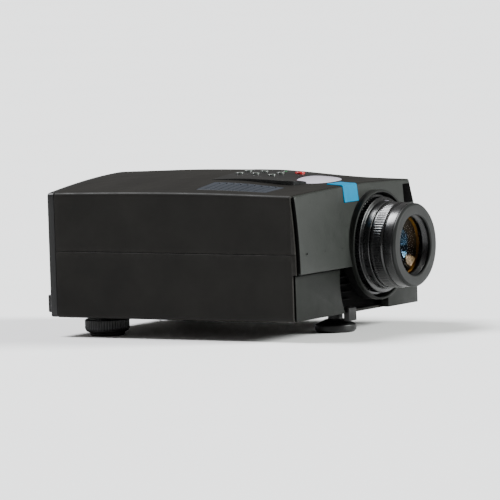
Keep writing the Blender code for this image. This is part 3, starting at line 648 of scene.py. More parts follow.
def sheet(x_range, y_range, lower, upper, columns=40, rows=40):
    """Solid between two surfaces, each a function of x and y."""
    loops = []
    for y in spread(*y_range, rows):
        xs = spread(*x_range, columns)
        loops.append([(x, y, upper(x, y)) for x in xs] + [(x, y, lower(x, y)) for x in reversed(xs)])
    return loft(loops)


def shrink_open(outline, inset):
    """Inset only the points of the rounded end lip, towards the middle of the section."""
    if not inset:
        return outline
    result = []
    for x, z in outline:
        share = min(abs(x) / HALF_W * 1.4, 1) ** 6
        result.append((x - math.copysign(inset, x) * share, z - inset if z > EDGE_Z - 4 else z))
    return result


def pad_ellipse(grow):
    """Centre and half axes of the oval pad, made larger by grow."""
    middle = centre("navigation_pad")
    half = extent("navigation_pad")[1] - middle
    return middle.x, middle.y, half.x + grow, half.y + grow


def pad_outline(grow):
    cx, cy, a, b = pad_ellipse(grow)
    turns = [2 * math.pi * i / 96 for i in range(96)]
    return [(cx + a * math.cos(t), cy + b * math.sin(t)) for t in turns]


def make_lower_case():
    top = lower_high.z
    half = HALF_W
    r = 3.0
    corner = [(-half + r - r * math.cos(t), CASE_Z0 + r - r * math.sin(t))
              for t in [math.pi / 2 * k / 8 for k in range(9)]]
    left = [(-half + 0.5, top), (-half, top - 0.5)]
    left += [(-half, z) for z in spread(top - 0.5, CASE_Z0 + r, 8)[1:-1]]
    outer = left + corner + [(x, CASE_Z0) for x in spread(-half + r, half - r, 30)[1:-1]]
    outer += [(-x, z) for x, z in reversed(left + corner)]
    inside, floor = half - WALL, CASE_Z0 + WALL
    inner = [(inside, top), (inside, floor), (-inside, floor), (-inside, top)]
    loops = []
    for y, inset in shell_levels(SHELL_Y0, SHELL_Y1, 30):
        ring = [(x - math.copysign(inset, x) if abs(x) > half - r else x,
                 z + inset if z < CASE_Z0 + r else z) for x, z in outer]
        loops.append([(x, y, z) for x, z in ring + inner])
    case = new_piece("lower_case_shell", loft(loops), CASE, "chassis", ["lower_case"])
    z0, z1 = CASE_Z0 - 5, CASE_Z0 + 8
    tools = []
    tools.append(cylinder(middle_of("front_foot"), 9.0, z0, z1, "z", 48))
    for side in ("left", "right"):
        tools.append(cylinder(middle_of(f"rear_foot_{side}_dial"), 7.0, z0, z1, "z", 48))
    low, high = extent("lamp_door")
    tools.append(box(low.x - GAP, high.x + GAP, low.y - GAP, high.y + GAP, z0, z1))
    tools.append(box(bezel_low.x - 0.4, bezel_high.x + 0.4, SHELL_Y0 - 5, FRONT_Y + 7.0, z0, z1))
    tools.append(box(HALF_W - WALL - 0.5, bezel_high.x + 0.4, SHELL_Y0 - 5, FRONT_Y + 7.0, z0, BEZEL_Z0))
    low, high = extent("foot_release")
    tools.append(box(low.x - 1, high.x + 1, SHELL_Y0 - 5, high.y + 2.6, z0, z1))
    for index in range(10):
        x = -100.0 + 6.0 * index
        tools.append(box(x, x + 2.6, FRONT_Y + 45, FRONT_Y + 85, z0, z1, 0.0))
    carve(case, tools)


def middle_of(node):
    """The point of the floor under the middle of a node."""
    middle = centre(node)
    return (middle.x, middle.y, 0.0)


def bezel_outline():
    """Front outline of the bezel, following the crown of the top."""
    x0, x1 = bezel_low.x, bezel_high.x
    rim = []
    for x in spread(x0 + 3.0, x1 - BEZEL_TAPER - 3.0, 60):
        span = (x - (x0 + x1) / 2) / ((x1 - x0) / 2) * (HALF_W - 0.4)
        rim.append((x, top_height(span, SHELL_Y0) - 1.0))
    left = [(x0, z) for z in spread(BEZEL_Z0 + 1.0, rim[0][1] - 3.0, 24)]
    right = []
    for z in spread(rim[-1][1] - 3.0, BEZEL_Z0 + 1.0, 24):
        right.append((x1 - BEZEL_TAPER * min(max((z - EDGE_Z + 26.0) / 20.0, 0.0), 1.0), z))
    corner = [(x0 + 0.9, rim[0][1] - 0.9)]
    other = [(x1 - BEZEL_TAPER - 0.9, rim[-1][1] - 0.9)]
    bottom = [(x, BEZEL_Z0) for x in spread(x1 - 1.0, x0 + 1.0, 60)]
    return left + corner + rim + other + right + bottom


def make_bezel():
    outline = bezel_outline()
    levels = quarter_round(1.3) + [(2.9, 0.0)]
    loops = [[(x, bezel_face(z) + depth, z) for x, z in shrink(outline, inset)] for depth, inset in levels]
    plate = new_piece("front_bezel_plate", loft(loops), BEZEL, "chassis", ["front_bezel"])
    tools = [cylinder(LENS, COLLAR_R - 0.4, -30, 30, "-y", 128), accent_solid(GAP), window_solid(0.4)]
    groove_y = bezel_face(PARTING_Z)
    tools.append(box(bezel_low.x - 2, bezel_high.x + 2, groove_y - 3.0, groove_y + 0.22, PARTING_Z - 0.2,
                     PARTING_Z + 0.2))
    for x in (-HALF_W + 17, -HALF_W + 54, -HALF_W + 90, -HALF_W + 115):
        tools.append(box(x - 2.75, x + 2.75, groove_y - 3.0, groove_y + 1.2,
                         PARTING_Z - 1.1, PARTING_Z + 1.1))
    carve(plate, tools)
    # Painted shade on the bezel's flank.
    paint_flank_shade(plate, bezel_low.x + 1.0)
    make_flanks()
    make_collar()


def paint_flank_shade(plate, limit):
    """Painted shade: the edge of a plate that faces a shadow gap takes the painted-shade black, for the shade
    in the gap.
    """
    plate.data.materials.append(SHADE_BLACK)
    for face in plate.data.polygons:
        if face.normal.x < -0.75 and face.center.x < limit * MM:
            face.material_index = 1


def make_flanks():
    """The side wall runs forward beside the bezel, and stops short of its face."""
    for name, z0, z1 in (("low", BEZEL_Z0, PARTING_Z - 0.2), ("high", PARTING_Z + 0.2, EDGE_Z - 9.0)):
        front = [(bezel_face(z) + FLANK_BACK, z) for z in spread(z1, z0, 12)]
        outline = [(SHELL_Y0 + 0.4, z0), (SHELL_Y0 + 0.4, z1)] + front
        flank = prism(outline, "x", -HALF_W, -HALF_W + WALL, 0.3, 2)
        new_piece(f"case_flank_{name}", flank, CASE, "chassis")


def make_collar():
    """Collar round the lens: a rim, a sleeve, and the part of the sleeve inside the front recess, painted
    darker as painted shade.
    """
    rim = fillet([(COLLAR_R, 3.0), (COLLAR_R, 8.0), (COLLAR_R - 3.0, 8.0), (COLLAR_R - 3.0, 3.0)],
                 [0, 1.2, 1.2, 0], 5)
    new_piece("lens_collar", turned(rim, LENS, segments=160), SHADED_FRONT_PLASTIC, "chassis")
    sleeve = [(COLLAR_R - 0.2, -7.0), (COLLAR_R - 0.2, 2.95), (COLLAR_R - 3.0, 2.95), (COLLAR_R - 3.0, -7.0)]
    around = (LENS_X - 70, LENS_X + 70, FRONT_Y - 20, FRONT_Y + 20)
    upper = new_piece("collar_sleeve", turned(sleeve, LENS, segments=160), BLACK, "chassis")
    carve(upper, [box(*around, 0.0, BEZEL_Z0)])
    # Painted shade: the same sleeve, inside the front recess, takes the painted-shade black.
    lower = new_piece("collar_sleeve_painted_shade", turned(sleeve, LENS, segments=160), SHADE_BLACK, "chassis")
    carve(lower, [box(*around, BEZEL_Z0 + 0.05, 200.0)])


def accent_solid(clearance, soft=0.0):
    low, high = extent("accent_tab")
    back = FRONT_Y + 21.0 + clearance
    bottom = EDGE_Z - 14.7 - clearance
    lip = top_height(0, SHELL_Y0)
    over, under = 0.6 + clearance, 1.3 + clearance
    outer = [(bezel_face(bottom) - over, bottom), (bezel_face(lip) - over, lip - 0.4),
             (bezel_face(lip) - over + 1.6, lip + over)]
    outer += [(y, top_height(0, y) + over) for y in spread(SHELL_Y0 + 2, back, 8)]
    inner = [(y, top_height(0, y) - under) for y in spread(back, SHELL_Y0, 4)]
    inner += [(bezel_face(lip) + under, lip - under - 0.6), (bezel_face(bottom) + under, bottom)]
    outline = outer + inner
    if soft:
        outline = fillet(outline, soft, 3)
    return prism(outline, "x", low.x - clearance, high.x + clearance, soft, 3)


def window_solid(clearance, soft=0.0):
    low, high = extent("remote_window")
    z0, z1 = low.z - clearance, high.z + clearance
    over, under = 0.3 + 3 * clearance, 1.8 + clearance
    outline = [(bezel_face(z0) - over, z0), (bezel_face(z1) - over, z1),
               (bezel_face(z1) + under, z1), (bezel_face(z0) + under, z0)]
    pane = prism(outline, "x", low.x - clearance, high.x + clearance, soft, 3)
    for vert in pane.verts:
        up = (vert.co.z - z0) / (z1 - z0)
        vert.co.x += 1.0 * up if vert.co.x < (low.x + high.x) / 2 else -3.6 * up
    return pane


def make_front_trim():
    new_piece("accent_tab_soft", accent_solid(0.0, 0.45), ACCENT, "chassis", ["accent_tab"])
    new_piece("remote_window_soft", window_solid(0.0, 0.4), WINDOW, "chassis", ["remote_window"])
    low, high = door_low, door_high
    centre_z = CASE_Z0 + 35.0
    edge = []
    for angle in spread(168.7, 210.0, 24):
        x = LENS_X + 69.0 * math.cos(math.radians(angle))
        z = centre_z + 69.0 * math.sin(math.radians(angle))
        edge.append((x, min(max(z, low.z), high.z)))
    kept = [p for i, p in enumerate(edge) if i in (0, len(edge) - 1) or low.z < p[1] < high.z]
    outline = [(low.x, low.z), (low.x, high.z)] + kept
    door = new_piece("filter_door_plate", prism(outline, "y", low.y, high.y, 0.7, 3), SHADED_FRONT_PLASTIC, "filter_door",
                     ["filter_door"])
    # Painted shade on the door's flank.
    paint_flank_shade(door, low.x + 1.0)
    panel = new_piece("lower_front_plate", node_box("lower_front_panel", 0.8), SHADED_FRONT_PLASTIC, "chassis",
                      ["lower_front_panel"])
    carve(panel, [cylinder(LENS, COLLAR_R + 1.2, -30, 30, "-y", 96)])
    low, high = extent("front_chassis")
    # Painted shade: the wall and ribs inside the front recess take the painted-shade black.
    wall = new_piece("front_wall", node_box("front_chassis", 0.3), SHADE_BLACK, "chassis", ["front_chassis"])
    carve(wall, [cylinder(LENS, 42.6, -30, 30, "-y", 96),
                 box(-108.0, -38.0, low.y - 5, high.y + 5, CASE_Z0 + 10, CASE_Z0 + 42)])
    release_low, release_high = extent("foot_release")
    for index, z in enumerate(spread(CASE_Z0 + 6.0, CASE_Z0 + 38.0, 4)):
        end = release_low.x - 1.0 if z < release_high.z + 1.0 else 1.0
        rib = box(-22.0, end, low.y - 5.5, low.y + 0.5, z, z + 1.4, 0.3, 2)
        new_piece(f"recess_rib_{index + 1}", rib, SHADE_BLACK, "chassis")


def make_rear_panel():
    outline = [(x * 0.9975, z - 0.3) for x, z in arch_outline(SHELL_Y1, 0.0, CASE_Z0 + 0.3)]
    outline = [(-HALF_W + 3.0, CASE_Z0 + 0.3), (-HALF_W + 0.9, CASE_Z0 + 1.2)] + outline[2:-2]
    outline += [(HALF_W - 0.9, CASE_Z0 + 1.2), (HALF_W - 3.0, CASE_Z0 + 0.3)]
    start, stop = SHELL_Y1 + GAP, REAR_Y
    panel = new_piece("rear_panel_shell", prism(outline, "y", start, stop, 1.4, 4), BLACK, "chassis",
                      ["rear_panel"])
    hollow = [(x, z) for x, z in arch_outline(SHELL_Y1, WALL + 0.3, CASE_Z0 + WALL)]
    tools = [prism(hollow, "y", start - 3, stop - 3.0)]
    for index in range(17):
        z = 50.0 + 4.2 * index
        tools.append(prism(slot_outline(-102.0, -30.0, z, z + 2.2), "y", REAR_Y - 8, REAR_Y + 8))
    for node, grow in (("mains_inlet", 0.4), ("computer_port", 0.9)):
        low, high = extent(node)
        tools.append(box(low.x - grow, high.x + grow, REAR_Y - 8, REAR_Y + 8, low.z - grow, high.z + grow))
    low, high = extent("power_switch")
    tools.append(box(low.x - 0.9, high.x + 0.9, REAR_Y - 8, REAR_Y + 8, low.z - 1.0, high.z + 1.0))
    jack = centre("video_jack")
    tools.append(cylinder((jack.x, REAR_Y, jack.z), 5.4, -12, 12, "-y", 48))
    carve(panel, tools)
    ledge = box(-HALF_W + 3, HALF_W - 3, REAR_Y - 1.5, REAR_Y + LEDGE_OUT, CASE_Z0 + 5, CASE_Z0 + 24, 1.6, 4)
    new_piece("rear_ledge", ledge, BLACK, "chassis")


def slot_outline(x0, x1, z0, z1, steps=8):
    r = (z1 - z0) / 2
    middle = (z0 + z1) / 2
    turns = spread(-math.pi / 2, math.pi / 2, steps)
    right = [(x1 - r + r * math.cos(a), middle + r * math.sin(a)) for a in turns]
    left = [(x0 + r - r * math.cos(a), middle - r * math.sin(a)) for a in turns]
    return right + left


# ---------------------------------------------------------------- controls

BUTTONS = [f"button_{i}" for i in range(1, 7)] + ["power_button", "status_light"]


def button_place(name):
    """Radius of a button, and the middle of its upper face."""
    low, high = extent(name)
    return (high.x - low.x) / 2, ((low.x + high.x) / 2, (low.y + high.y) / 2, high.z)


def make_controls():
    make_deck()
    for name in BUTTONS:
        radius, place = button_place(name)
        look = {"power_button": RED, "status_light": LIGHT}.get(name, BUTTON)
        body = "chassis" if name == "status_light" else name
        crest = -0.25 if radius > 3 else 0.0
        cap = turned(cap_profile(radius, crest), place, "z", 48)
        new_piece(f"{name}_cap", cap, look, body, [name], smooth=50)
    make_pad()
    make_grille()


def make_deck():
    """Control deck in three layers, each a little smaller and higher, which soften its rim."""
    xs, ys = (deck_low.x - 4, deck_high.x + 4), (deck_low.y - 4, deck_high.y + 4)
    for index, (inset, drop) in enumerate(((0.0, 0.55), (0.25, 0.18), (0.6, 0.0))):
        layer = new_piece(f"control_deck_{index + 1}", prism(deck_outline(-inset), "z", 150.0, 185.0), PANEL,
                          "chassis", [] if index else ["control_panel"])
        tools = [sheet(xs, ys, lambda x, y: deck_height(x, y) - drop, lambda x, y: 200.0),
                 sheet(xs, ys, lambda x, y: 140.0, lambda x, y: top_height(x, y) - 2.4 - inset)]
        for name in BUTTONS:
            radius, place = button_place(name)
            tools.append(cylinder(place, radius + 0.5, -25, 20, "z", 40))
        carve(layer, tools)


def cap_profile(radius, crest):
    """Rounded push button: side, soft shoulder and slightly dished face."""
    soft = 0.9
    shoulder = [(radius - soft + soft * math.cos(t), -soft + soft * math.sin(t))
                for t in spread(0.0, math.pi / 2, 5)]
    dish = [(radius - soft - 0.4, -0.03), (radius * 0.4, crest * 0.7)]
    return [(0, -7.0), (radius, -7.0)] + shoulder + dish + [(0, crest)]


def make_pad():
    """Oval rocker pad, slightly domed and glossy."""
    cx, cy, a, b = pad_ellipse(0.0)
    ceiling = extent("navigation_pad")[1].z
    bm = bmesh.new()
    rings = []
    levels = [(1.0, -9.0), (1.0, -0.9), (0.992, -0.35), (0.975, -0.05)]
    levels += [(k, 0.9 * (1 - (k / 0.975) ** 2)) for k in spread(0.95, 0.05, 14)]
    steps = 96
    for scale, lift in levels:
        ring = []
        for i in range(steps):
            t = 2 * math.pi * i / steps
            x, y = cx + a * scale * math.cos(t), cy + b * scale * math.sin(t)
            ring.append(bm.verts.new((x, y, min(top_height(x, y) + lift, ceiling))))
        rings.append(ring)
    for first, second in zip(rings, rings[1:]):
        for i in range(steps):
            j = (i + 1) % steps
            bm.faces.new((first[i], first[j], second[j], second[i]))
    bm.faces.new(list(reversed(rings[0])))
    bm.faces.new(rings[-1])
    new_piece("navigation_pad_dome", bm, SILVER, "navigation_pad", ["navigation_pad"], smooth=50)


def make_grille():
    """Speaker grille: a frame, broad crosswise bars and the dark cloth behind them."""
    low, high = extent("speaker_grille")
    x0, x1, y0, y1 = low.x, high.x, low.y, high.y
    cloth = crowned((x0, x1), (y0, y1), -1.6, 0.8, 8, 24, edge=0.2)
    new_piece("grille_cloth", cloth, FOAM, "chassis", ["speaker_grille"])
    bars = []
    count = 10
    pitch = (y1 - y0) / count
    for index in range(count):
        y = y0 + pitch * (index + 0.5)
        bars.append(crowned((x0 + 1.2, x1 - 1.2), (y - 2.75, y + 2.75), 0.0, 1.4, 10, 4, edge=0.5))
    for y in (y0 + 0.9, y1 - 0.9):
        bars.append(crowned((x0, x1), (y - 0.9, y + 0.9), 0.0, 1.5, 12, 2, edge=0.4))
    for x in (x0 + 0.9, x1 - 0.9):
        bars.append(crowned((x - 0.9, x + 0.9), (y0, y1), 0.0, 1.5, 2, 40, edge=0.4))
    new_piece("speaker_grille_bars", merge(*bars), GRILLE, "chassis")


# ---------------------------------------------------------------- feet

def make_feet():
    place = middle_of("front_foot")
    profile = [(0, 0.0), (20.0, 0.0), (22.0, 2.6), (22.0, 8.0), (11.0, 13.5), (8.0, 13.5), (8.0, 58.0),
               (0, 58.0)]
    soft = fillet(profile, [0, 1.0, 1.2, 1.6, 1.0, 0.8, 0.8, 0], 4, closed=False)
    foot = turned(soft, place, "z", 96)
    new_piece("front_foot_turned", foot, BLACK, "front_foot", ["front_foot"])
    for side in ("left", "right"):
        make_rear_foot(side)
    low = extent("foot_release")[0]
    new_piece("foot_release_block", node_box("foot_release", 1.2, 4), BLACK, "foot_release",
              ["foot_release"])
    grips = [box(x, x + 1.2, low.y, low.y + 1.0, low.z + 2, low.z + 9, 0.3, 2)
             for x in spread(low.x + 3, low.x + 12, 3)]
    new_piece("foot_release_grip", merge(*grips), BLACK, "foot_release")


def make_rear_foot(side):
    place = middle_of(f"rear_foot_{side}_dial")
    dial = [(0, 3.3), (19.0, 3.3), (22.5, 5.0), (24.0, 8.0), (24.0, 17.0), (22.5, 18.0), (6.0, 18.0),
            (6.0, 46.0), (0, 46.0)]
    soft = fillet(dial, [0, 0.8, 1.2, 1.6, 0.8, 0.8, 0.5, 0.5, 0], 4, closed=False)
    knurled = turned(dense(soft, 1.5), place, "z", 288, ribs=(48, 0.9, 6.2, 17.2, 3.0))
    dial_node, pad_node = f"rear_foot_{side}_dial", f"rear_foot_{side}_pad"
    new_piece(f"rear_foot_{side}_knurled", knurled, BLACK, dial_node, [dial_node])
    pad = [(0, 0.0), (17.0, 0.0), (18.5, 1.2), (18.5, 3.0), (0, 3.0)]
    soft = fillet(pad, [0, 0.6, 0.5, 0.3, 0], 3, closed=False)
    rubber = turned(soft, place, "z", 96)
    new_piece(f"rear_foot_{side}_rubber", rubber, RUBBER, pad_node, [pad_node])


def dense(profile, step):
    """Add points along the long straight runs of a profile."""
    result = [profile[0]]
    for a, b in zip(profile, profile[1:]):
        length = math.hypot(b[0] - a[0], b[1] - a[1])
        pieces = max(1, int(length / step))
        for k in range(1, pieces + 1):
            t = k / pieces
            result.append((a[0] + (b[0] - a[0]) * t, a[1] + (b[1] - a[1]) * t))
    return result


# ---------------------------------------------------------------- lens

def make_lens():
    barrel = fillet([(42.0, 33.5), (42.0, 2.0), (54.0, 2.0), (54.0, -11.5), (42.0, -11.5), (42.0, -35.0),
                     (37.0, -35.0), (37.0, -34.0), (38.6, -34.0), (38.6, 33.5)],
                    [0.4, 0.6, 1.2, 0.4, 0.4, 0.4, 0.2, 0.2, 0.2, 0.2], 3)
    new_piece("lens_tube", turned(barrel, LENS, segments=144), RING, "chassis", ["lens_barrel"])
    bore = 42.5
    zoom = fillet([(bore, 2.5), (51.0, 2.5), (51.0, 10.4), (46.8, 11.2), (46.8, 19.4), (bore, 19.4)],
                  [0.2, 0.7, 0.8, 0.5, 0.9, 0.2], 4)
    zoom = close_dense(zoom, 1.2)
    new_piece("zoom_ring_ribbed", turned(zoom, LENS, segments=432, ribs=(72, 0.95, 2.9, 9.8, 1.5)), RING,
              "zoom_ring", ["zoom_ring"], smooth=60)
    mark = box(LENS_X - 0.5, LENS_X + 0.5, FRONT_Y - 17.6, FRONT_Y - 12.6,
               LENS_Z + 46.3, LENS_Z + 47.1, 0.15, 2)
    new_piece("zoom_index", mark, SILVER, "zoom_ring")
    focus = fillet([(bore, 19.9), (45.0, 19.9), (45.6, 21.0), (45.6, 33.4), (44.6, 35.0), (bore, 35.0)],
                   [0.2, 0.4, 0.4, 0.6, 0.5, 0.2], 4)
    focus = close_dense(focus, 1.2)
    new_piece("focus_ring_ribbed", turned(focus, LENS, segments=480, ribs=(96, 0.6, 22.4, 32.4, 0.6)), RING,
              "focus_ring", ["focus_ring"], smooth=60)
    make_front_cell()
    make_elements()


def close_dense(profile, step):
    return dense(list(profile) + [profile[0]], step)[:-1]


def make_front_cell():
    """Front ring: glossy wall with a stepped bore, and a grey cap with a flat annular face."""
    outer = fillet([(38.0, 22.0), (38.0, 35.5), (44.2, 35.5), (44.6, 36.2), (44.6, 45.2), (44.0, 45.8),
                    (33.0, 45.8), (32.0, 45.4)], [0, 0.3, 0.3, 0.2, 0.2, 0.2, 0.2, 0], 3, closed=False)
    bore = []
    for k in range(5):
        z = 45.0 - k * 0.95
        bore += [(31.75 - 0.16 * k, z), (32.15 - 0.16 * k, z - 0.45)]
    inner = [(31.0, 40.2), (33.6, 40.2), (33.6, 22.0)]
    new_piece("front_cell_ring", turned(outer + bore + inner, LENS, segments=160), RING, "front_cell",
              ["front_cell"])
    cap = fillet([(44.6, 46.0), (44.6, 47.8), (42.6, 50.0), (33.4, 50.0), (32.2, 48.8), (32.2, 46.0)],
                 [0.2, 0.8, 0.9, 0.8, 0.5, 0.2], 4)
    new_piece("front_cell_cap", turned(cap, LENS, segments=160), FACE, "front_cell")


def lens_body(radius, back, front, bulge_front, bulge_back, count=16):
    def dome(level, bulge):
        return [(radius * i / count, level + bulge * (1 - (i / count) ** 2)) for i in range(count + 1)]
    return dome(back, -bulge_back) + dome(front, bulge_front)[::-1]


def make_elements():
    """Front, zoom and rear lens groups, with the blackened spacer rings seen through the glass."""
    front = turned(lens_body(33.2, 34.5, 38.5, 1.6, -2.2), LENS, segments=96)
    new_piece("front_element", front, GLASS, "front_cell", ["front_glass"], smooth=40)
    for index, (radius, width, low, high) in enumerate(((30.5, 3.4, 29.8, 32.2), (18.8, 0.6, 23.0, 28.2))):
        ring = fillet([(radius + width, low), (radius + width, high), (radius, high - 0.4), (radius, low)],
                      [0.1, 0.1, 0.1, 0.1], 3)
        new_piece(f"spacer_ring_{index + 1}", turned(ring, LENS, segments=96), BAFFLE, "front_cell")
    retainer = fillet([(33.4, 33.0), (33.4, 33.6), (30.2, 32.9), (30.2, 32.5)], [0.1, 0.2, 0.2, 0.1], 3)
    # Painted reflection: the retaining ring is painted amber for a coated element's amber reflection.
    new_piece("retaining_ring", turned(retainer, LENS, segments=128), AMBER_REFLECTION_PAINT, "front_cell",
              smooth=50)
    hollow = [(r, 33.0 - 9.0 * (1 - (r / 29.5) ** 2)) for r in spread(29.5, 19.6, 14)]
    second = turned([(29.5, 24.0)] + hollow + [(19.6, 24.0)], LENS, segments=128)
    new_piece("second_element", second, COAT_BRONZE, "front_cell", smooth=40)
    third = turned(lens_body(18.5, 22.8, 28.4, -5.0, 0.2), LENS, segments=96)
    new_piece("third_element", third, COAT_BLUE, "front_cell", smooth=40)
    zoom = turned(lens_body(37.8, -9.0, 2.0, 3.5, 1.5), LENS, segments=96)
    new_piece("zoom_element", zoom, COAT_BLUE, "zoom_lens", ["zoom_group"], smooth=40)
    rear = turned(lens_body(38.2, -33.5, -27.0, 3.0, 0.0), LENS, segments=96)
    new_piece("rear_element", rear, AMBER_REFLECTION_PAINT, "chassis", ["rear_glass"], smooth=40)


# ---------------------------------------------------------------- underside and rear fittings

def make_underside():
    low, high = extent("lamp_door")
    door = new_piece("lamp_door_plate", node_box("lamp_door", 0.5), CASE, "lamp_door", ["lamp_door"])
    screw_place = middle_of("lamp_door_screw")
    tools = [cylinder(screw_place, 2.5, 0, 40, "z", 32)]
    for k in range(5):
        y = low.y + 8 + 3.2 * k
        tools.append(box(low.x + 18, high.x - 18, y, y + 1.4, low.z - 1, low.z + 0.7))
    carve(door, tools)
    head = [(0, 16.0), (6.0, 16.0), (6.0, 20.6), (2.1, 20.6), (2.1, 34.0), (0, 34.0)]
    soft = fillet(head, [0, 0.6, 0.5, 0.2, 0.4, 0], 3, closed=False)
    screw = new_piece("lamp_screw_knurled", turned(dense(soft, 1.2), screw_place, "z", 144,
                                                   ribs=(36, 0.35, 16.8, 20.2, 0.7)),
                      STEEL, "lamp_door_screw", ["lamp_door_screw"])
    x, y = screw_place[:2]
    carve(screw, [box(x - 4.5, x + 4.5, y - 0.6, y + 0.6, 15.0, 17.2)])
    for index, (x, y) in enumerate(((-112, FRONT_Y + 14), (112, FRONT_Y + 14), (-112, REAR_Y - 20),
                                    (112, REAR_Y - 20))):
        screw = new_piece(f"case_screw_{index + 1}",
                          turned([(0, CASE_Z0 - 0.9), (2.2, CASE_Z0 - 0.9), (3.0, CASE_Z0 - 0.4),
                                  (3.0, CASE_Z0 + 0.3), (0, CASE_Z0 + 0.3)], (x, y, 0), "z", 40), STEEL,
                          "chassis")
        carve(screw, [box(x - 2.0, x + 2.0, y - 0.35, y + 0.35, CASE_Z0 - 2, CASE_Z0 - 0.4),
                      box(x - 0.35, x + 0.35, y - 2.0, y + 2.0, CASE_Z0 - 2, CASE_Z0 - 0.4)])


def make_rear_fittings():
    x, z = centre("mains_inlet").xz
    inlet = new_piece("mains_inlet_body", node_box("mains_inlet", 0.6), BLACK, "chassis", ["mains_inlet"])
    mouth = fillet([(x - 11.5, z - 8), (x + 11.5, z - 8), (x + 11.5, z + 4),
                    (x + 7.5, z + 8), (x - 7.5, z + 8), (x - 11.5, z + 4)], 1.2, 3)
    carve(inlet, [prism(mouth, "y", REAR_Y - 16, REAR_Y + 5)])
    for index, (dx, dz) in enumerate(((-7.0, -2.0), (0.0, 2.6), (7.0, -2.0))):
        pin = box(x + dx - 1, x + dx + 1, REAR_Y - 17, REAR_Y - 4, z + dz - 2, z + dz + 2, 0.4, 3)
        new_piece(f"inlet_pin_{index + 1}", pin, STEEL, "chassis")
    low, high = extent("power_switch")
    z = centre("power_switch").z
    section = [(0.2, -9.4), (2.4, -9.2), (0.9, 0.0), (-0.3, 9.4), (-6.0, 7.0), (-6.0, -7.0)]
    rocker = fillet([(REAR_Y + dy, z + dz) for dy, dz in section], [0.3, 0.5, 0, 0.5, 0.3, 0.3], 3)
    rocker = prism(rocker, "x", low.x, high.x, 0.5, 3)
    new_piece("power_rocker", rocker, RED, "power_switch", ["power_switch"])
    make_port()
    make_jacks()


def port_outline(x, z, upper, lower, half, radius):
    """Socket outline that is wider above than below."""
    corners = [(x - upper, z + half), (x + upper, z + half), (x + lower, z - half), (x - lower, z - half)]
    return fillet(corners, radius, 4)


def make_port():
    """Computer socket: plated shell, dark insert with its rows of holes, and two hex posts."""
    x, z = centre("computer_port").xz
    outer = port_outline(x, z, 15.5, 14.0, 6.0, 2.0)
    shell = new_piece("computer_shell", prism(outer, "y", REAR_Y - 12, REAR_Y + 2.5, 0.4, 3), STEEL,
                      "chassis", ["computer_port"])
    mouth = port_outline(x, z, 11.0, 9.6, 4.4, 1.6)
    carve(shell, [prism(mouth, "y", REAR_Y - 6.5, REAR_Y + 8)])
    insert = new_piece("computer_insert", prism(shrink(mouth, 0.5), "y", REAR_Y - 6.4, REAR_Y - 5.2), BLACK,
                       "chassis")
    holes = []
    for row in range(3):
        for column in range(5):
            place = (x - 7.2 + 3.4 * column + (row % 2) * 0.8, REAR_Y, z - 2.6 + 2.6 * row)
            holes.append(cylinder(place, 0.55, 4.9, 8.0, "-y", 12))
    carve(insert, holes)
    for index, side in enumerate((-1, 1)):
        place = (x + side * 13.2, REAR_Y, z)
        post = turned([(0, -2.4), (1.9, -2.4), (2.2, -2.0), (2.2, 3.0), (0, 3.0)], place, "-y", 6)
        new_piece(f"port_post_{index + 1}", post, STEEL, "chassis")


def make_jacks():
    """Video jack with its coloured collar, and the audio jacks beside it."""
    x, z = centre("video_jack").xz
    profile = fillet([(1.6, 8.0), (1.6, -5.0), (4.1, -5.0), (4.1, 0.2), (5.0, 0.4), (5.0, 4.0), (4.0, 8.0)],
                     [0.1, 0.2, 0.3, 0.1, 0.1, 0.2, 0.2], 3)
    new_piece("video_jack_turned", turned(profile, (x, REAR_Y - 1.0, z), "-y", 48), BRASS, "chassis",
              ["video_jack"])
    for index, (look, name) in enumerate(((ACCENT, "accent"), (SILVER, "silver"), (RED, "red"))):
        place = (x, REAR_Y, z + 18.0 * index)
        collar = fillet([(4.6, 0.2), (4.6, -1.6), (6.6, -1.6), (6.6, 0.2)], 0.3, 3)
        new_piece(f"jack_collar_{index + 1}", turned(collar, place, "-y", 48), look, "chassis")
        if index:
            jack = turned(audio_profile(), (x, REAR_Y + 0.1, z + 18.0 * index), "-y", 48)
            new_piece(f"audio_jack_{index}", jack, BRASS, "chassis")


def audio_profile():
    """Section of the barrel of an audio jack."""
    return fillet([(1.6, 0.0), (1.6, -4.6), (4.1, -4.6), (4.1, 0.0)], [0, 0.3, 0.3, 0], 3)


# ---------------------------------------------------------------- pieces kept from CAD

KEPT = {
    BLACK: ("speaker", "exhaust_fan_frame", "exhaust_impeller", "lcd_red", "lcd_green", "lcd_blue"),
    ALLOY: ("optics_tray", "lamp_housing"),
    STEEL: ("ballast",),
    BOARD: ("main_board", "power_supply"),
    MIRROR: ("lamp_reflector", "dichroic_blue", "dichroic_green", "mirror_blue", "mirror_red_front",
             "mirror_red_rear"),
    PRISM: ("prism_block", "condenser_lens"),
    CERAMIC: ("lamp_burner",),
    FOAM: ("air_filter",),
}


def dress_kept_nodes():
    for look, names in KEPT.items():
        for name in names:
            data = NODES[name].data
            data.materials.clear()
            data.materials.append(look)


# ---------------------------------------------------------------- studio

ROOM_LIGHT = 0.25
BACKDROP_LIGHT = 4.0


def make_stage():
    bm = bmesh.new()
    bmesh.ops.create_grid(bm, x_segments=2, y_segments=2, size=9.0)
    mesh = bpy.data.meshes.new("floor")
    bm.to_mesh(mesh)
    bm.free()
    floor = bpy.data.objects.new("floor", mesh)
    bpy.context.scene.collection.objects.link(floor)
    look = Look("floor_paint")
    tone = look.mix(look.noise(3.0, 4.0), (0.88, 0.88, 0.885), (0.92, 0.92, 0.925))
    look.link(tone, look.shader.inputs["Base Color"])
    look.shader.inputs["Roughness"].default_value = 0.6
    mesh.materials.append(look.material)
    floor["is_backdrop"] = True
    make_world()


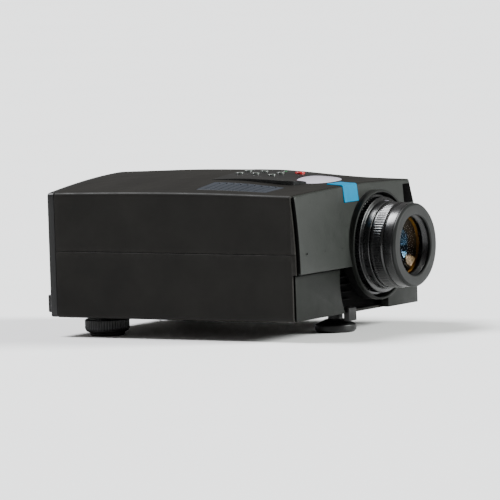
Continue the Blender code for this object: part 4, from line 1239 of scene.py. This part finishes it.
def make_world():
    """Pale backdrop for the camera, and dimmer soft surroundings for light and reflections."""
    world = bpy.data.worlds.new("studio")
    bpy.context.scene.world = world
    world.use_nodes = True
    tree = world.node_tree
    room = tree.nodes["Background"]
    room.inputs["Color"].default_value = (1.0, 0.97, 0.93, 1.0)
    room.inputs["Strength"].default_value = ROOM_LIGHT
    backdrop = tree.nodes.new("ShaderNodeBackground")
    backdrop.inputs["Color"].default_value = (0.98, 0.985, 1.0, 1.0)
    backdrop.inputs["Strength"].default_value = BACKDROP_LIGHT
    path = tree.nodes.new("ShaderNodeLightPath")
    mix = tree.nodes.new("ShaderNodeMixShader")
    tree.links.new(path.outputs["Is Camera Ray"], mix.inputs["Fac"])
    tree.links.new(room.outputs["Background"], mix.inputs[1])
    tree.links.new(backdrop.outputs["Background"], mix.inputs[2])
    tree.links.new(mix.outputs["Shader"], tree.nodes["World Output"].inputs["Surface"])


def add_light(name, place, strength, width, colour):
    """A distant soft light that shines from place towards the origin; width is its apparent angle."""
    data = bpy.data.lights.new(name, "SUN")
    data.energy = strength
    data.angle = math.radians(width)
    data.color = colour
    light = bpy.data.objects.new(name, data)
    light.location = place
    light.rotation_euler = (-Vector(place)).to_track_quat("-Z", "Y").to_euler()
    bpy.context.scene.collection.objects.link(light)


def make_lights():
    add_light("key", (1.0, -2.5, 1.3), 7.4, 22.0, (0.97, 1.0, 0.97))
    add_light("top", (-0.2, 1.2, 1.9), 6.6, 26.0, (0.97, 0.98, 1.0))


def make_camera():
    """The camera stands low, towards the case's long side, and sees a little of the front."""
    low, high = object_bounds()
    aim = (Vector(low) + Vector(high)) / 2
    data = bpy.data.cameras.new("camera")
    data.sensor_width = 36.0
    data.lens = 445.0
    camera = bpy.data.objects.new("camera", data)
    eye = Vector((-5.5925, -3.4875, 0.603))
    up_hint = Vector((0.1559, 0.0599, 0.9859))
    forward = (aim - eye).normalized()
    right = forward.cross(up_hint).normalized()
    up = right.cross(forward)
    matrix = Matrix((right, up, -forward)).transposed().to_4x4()
    matrix.translation = eye
    camera.matrix_world = matrix
    data.clip_end = 60.0
    bpy.context.scene.collection.objects.link(camera)
    bpy.context.scene.camera = camera


make_upper_case()
make_lower_case()
make_bezel()
make_front_trim()
make_rear_panel()
make_controls()
make_feet()
make_lens()
make_underside()
make_rear_fittings()
dress_kept_nodes()
make_stage()
make_lights()
make_camera()

bpy.context.view_layer.update()
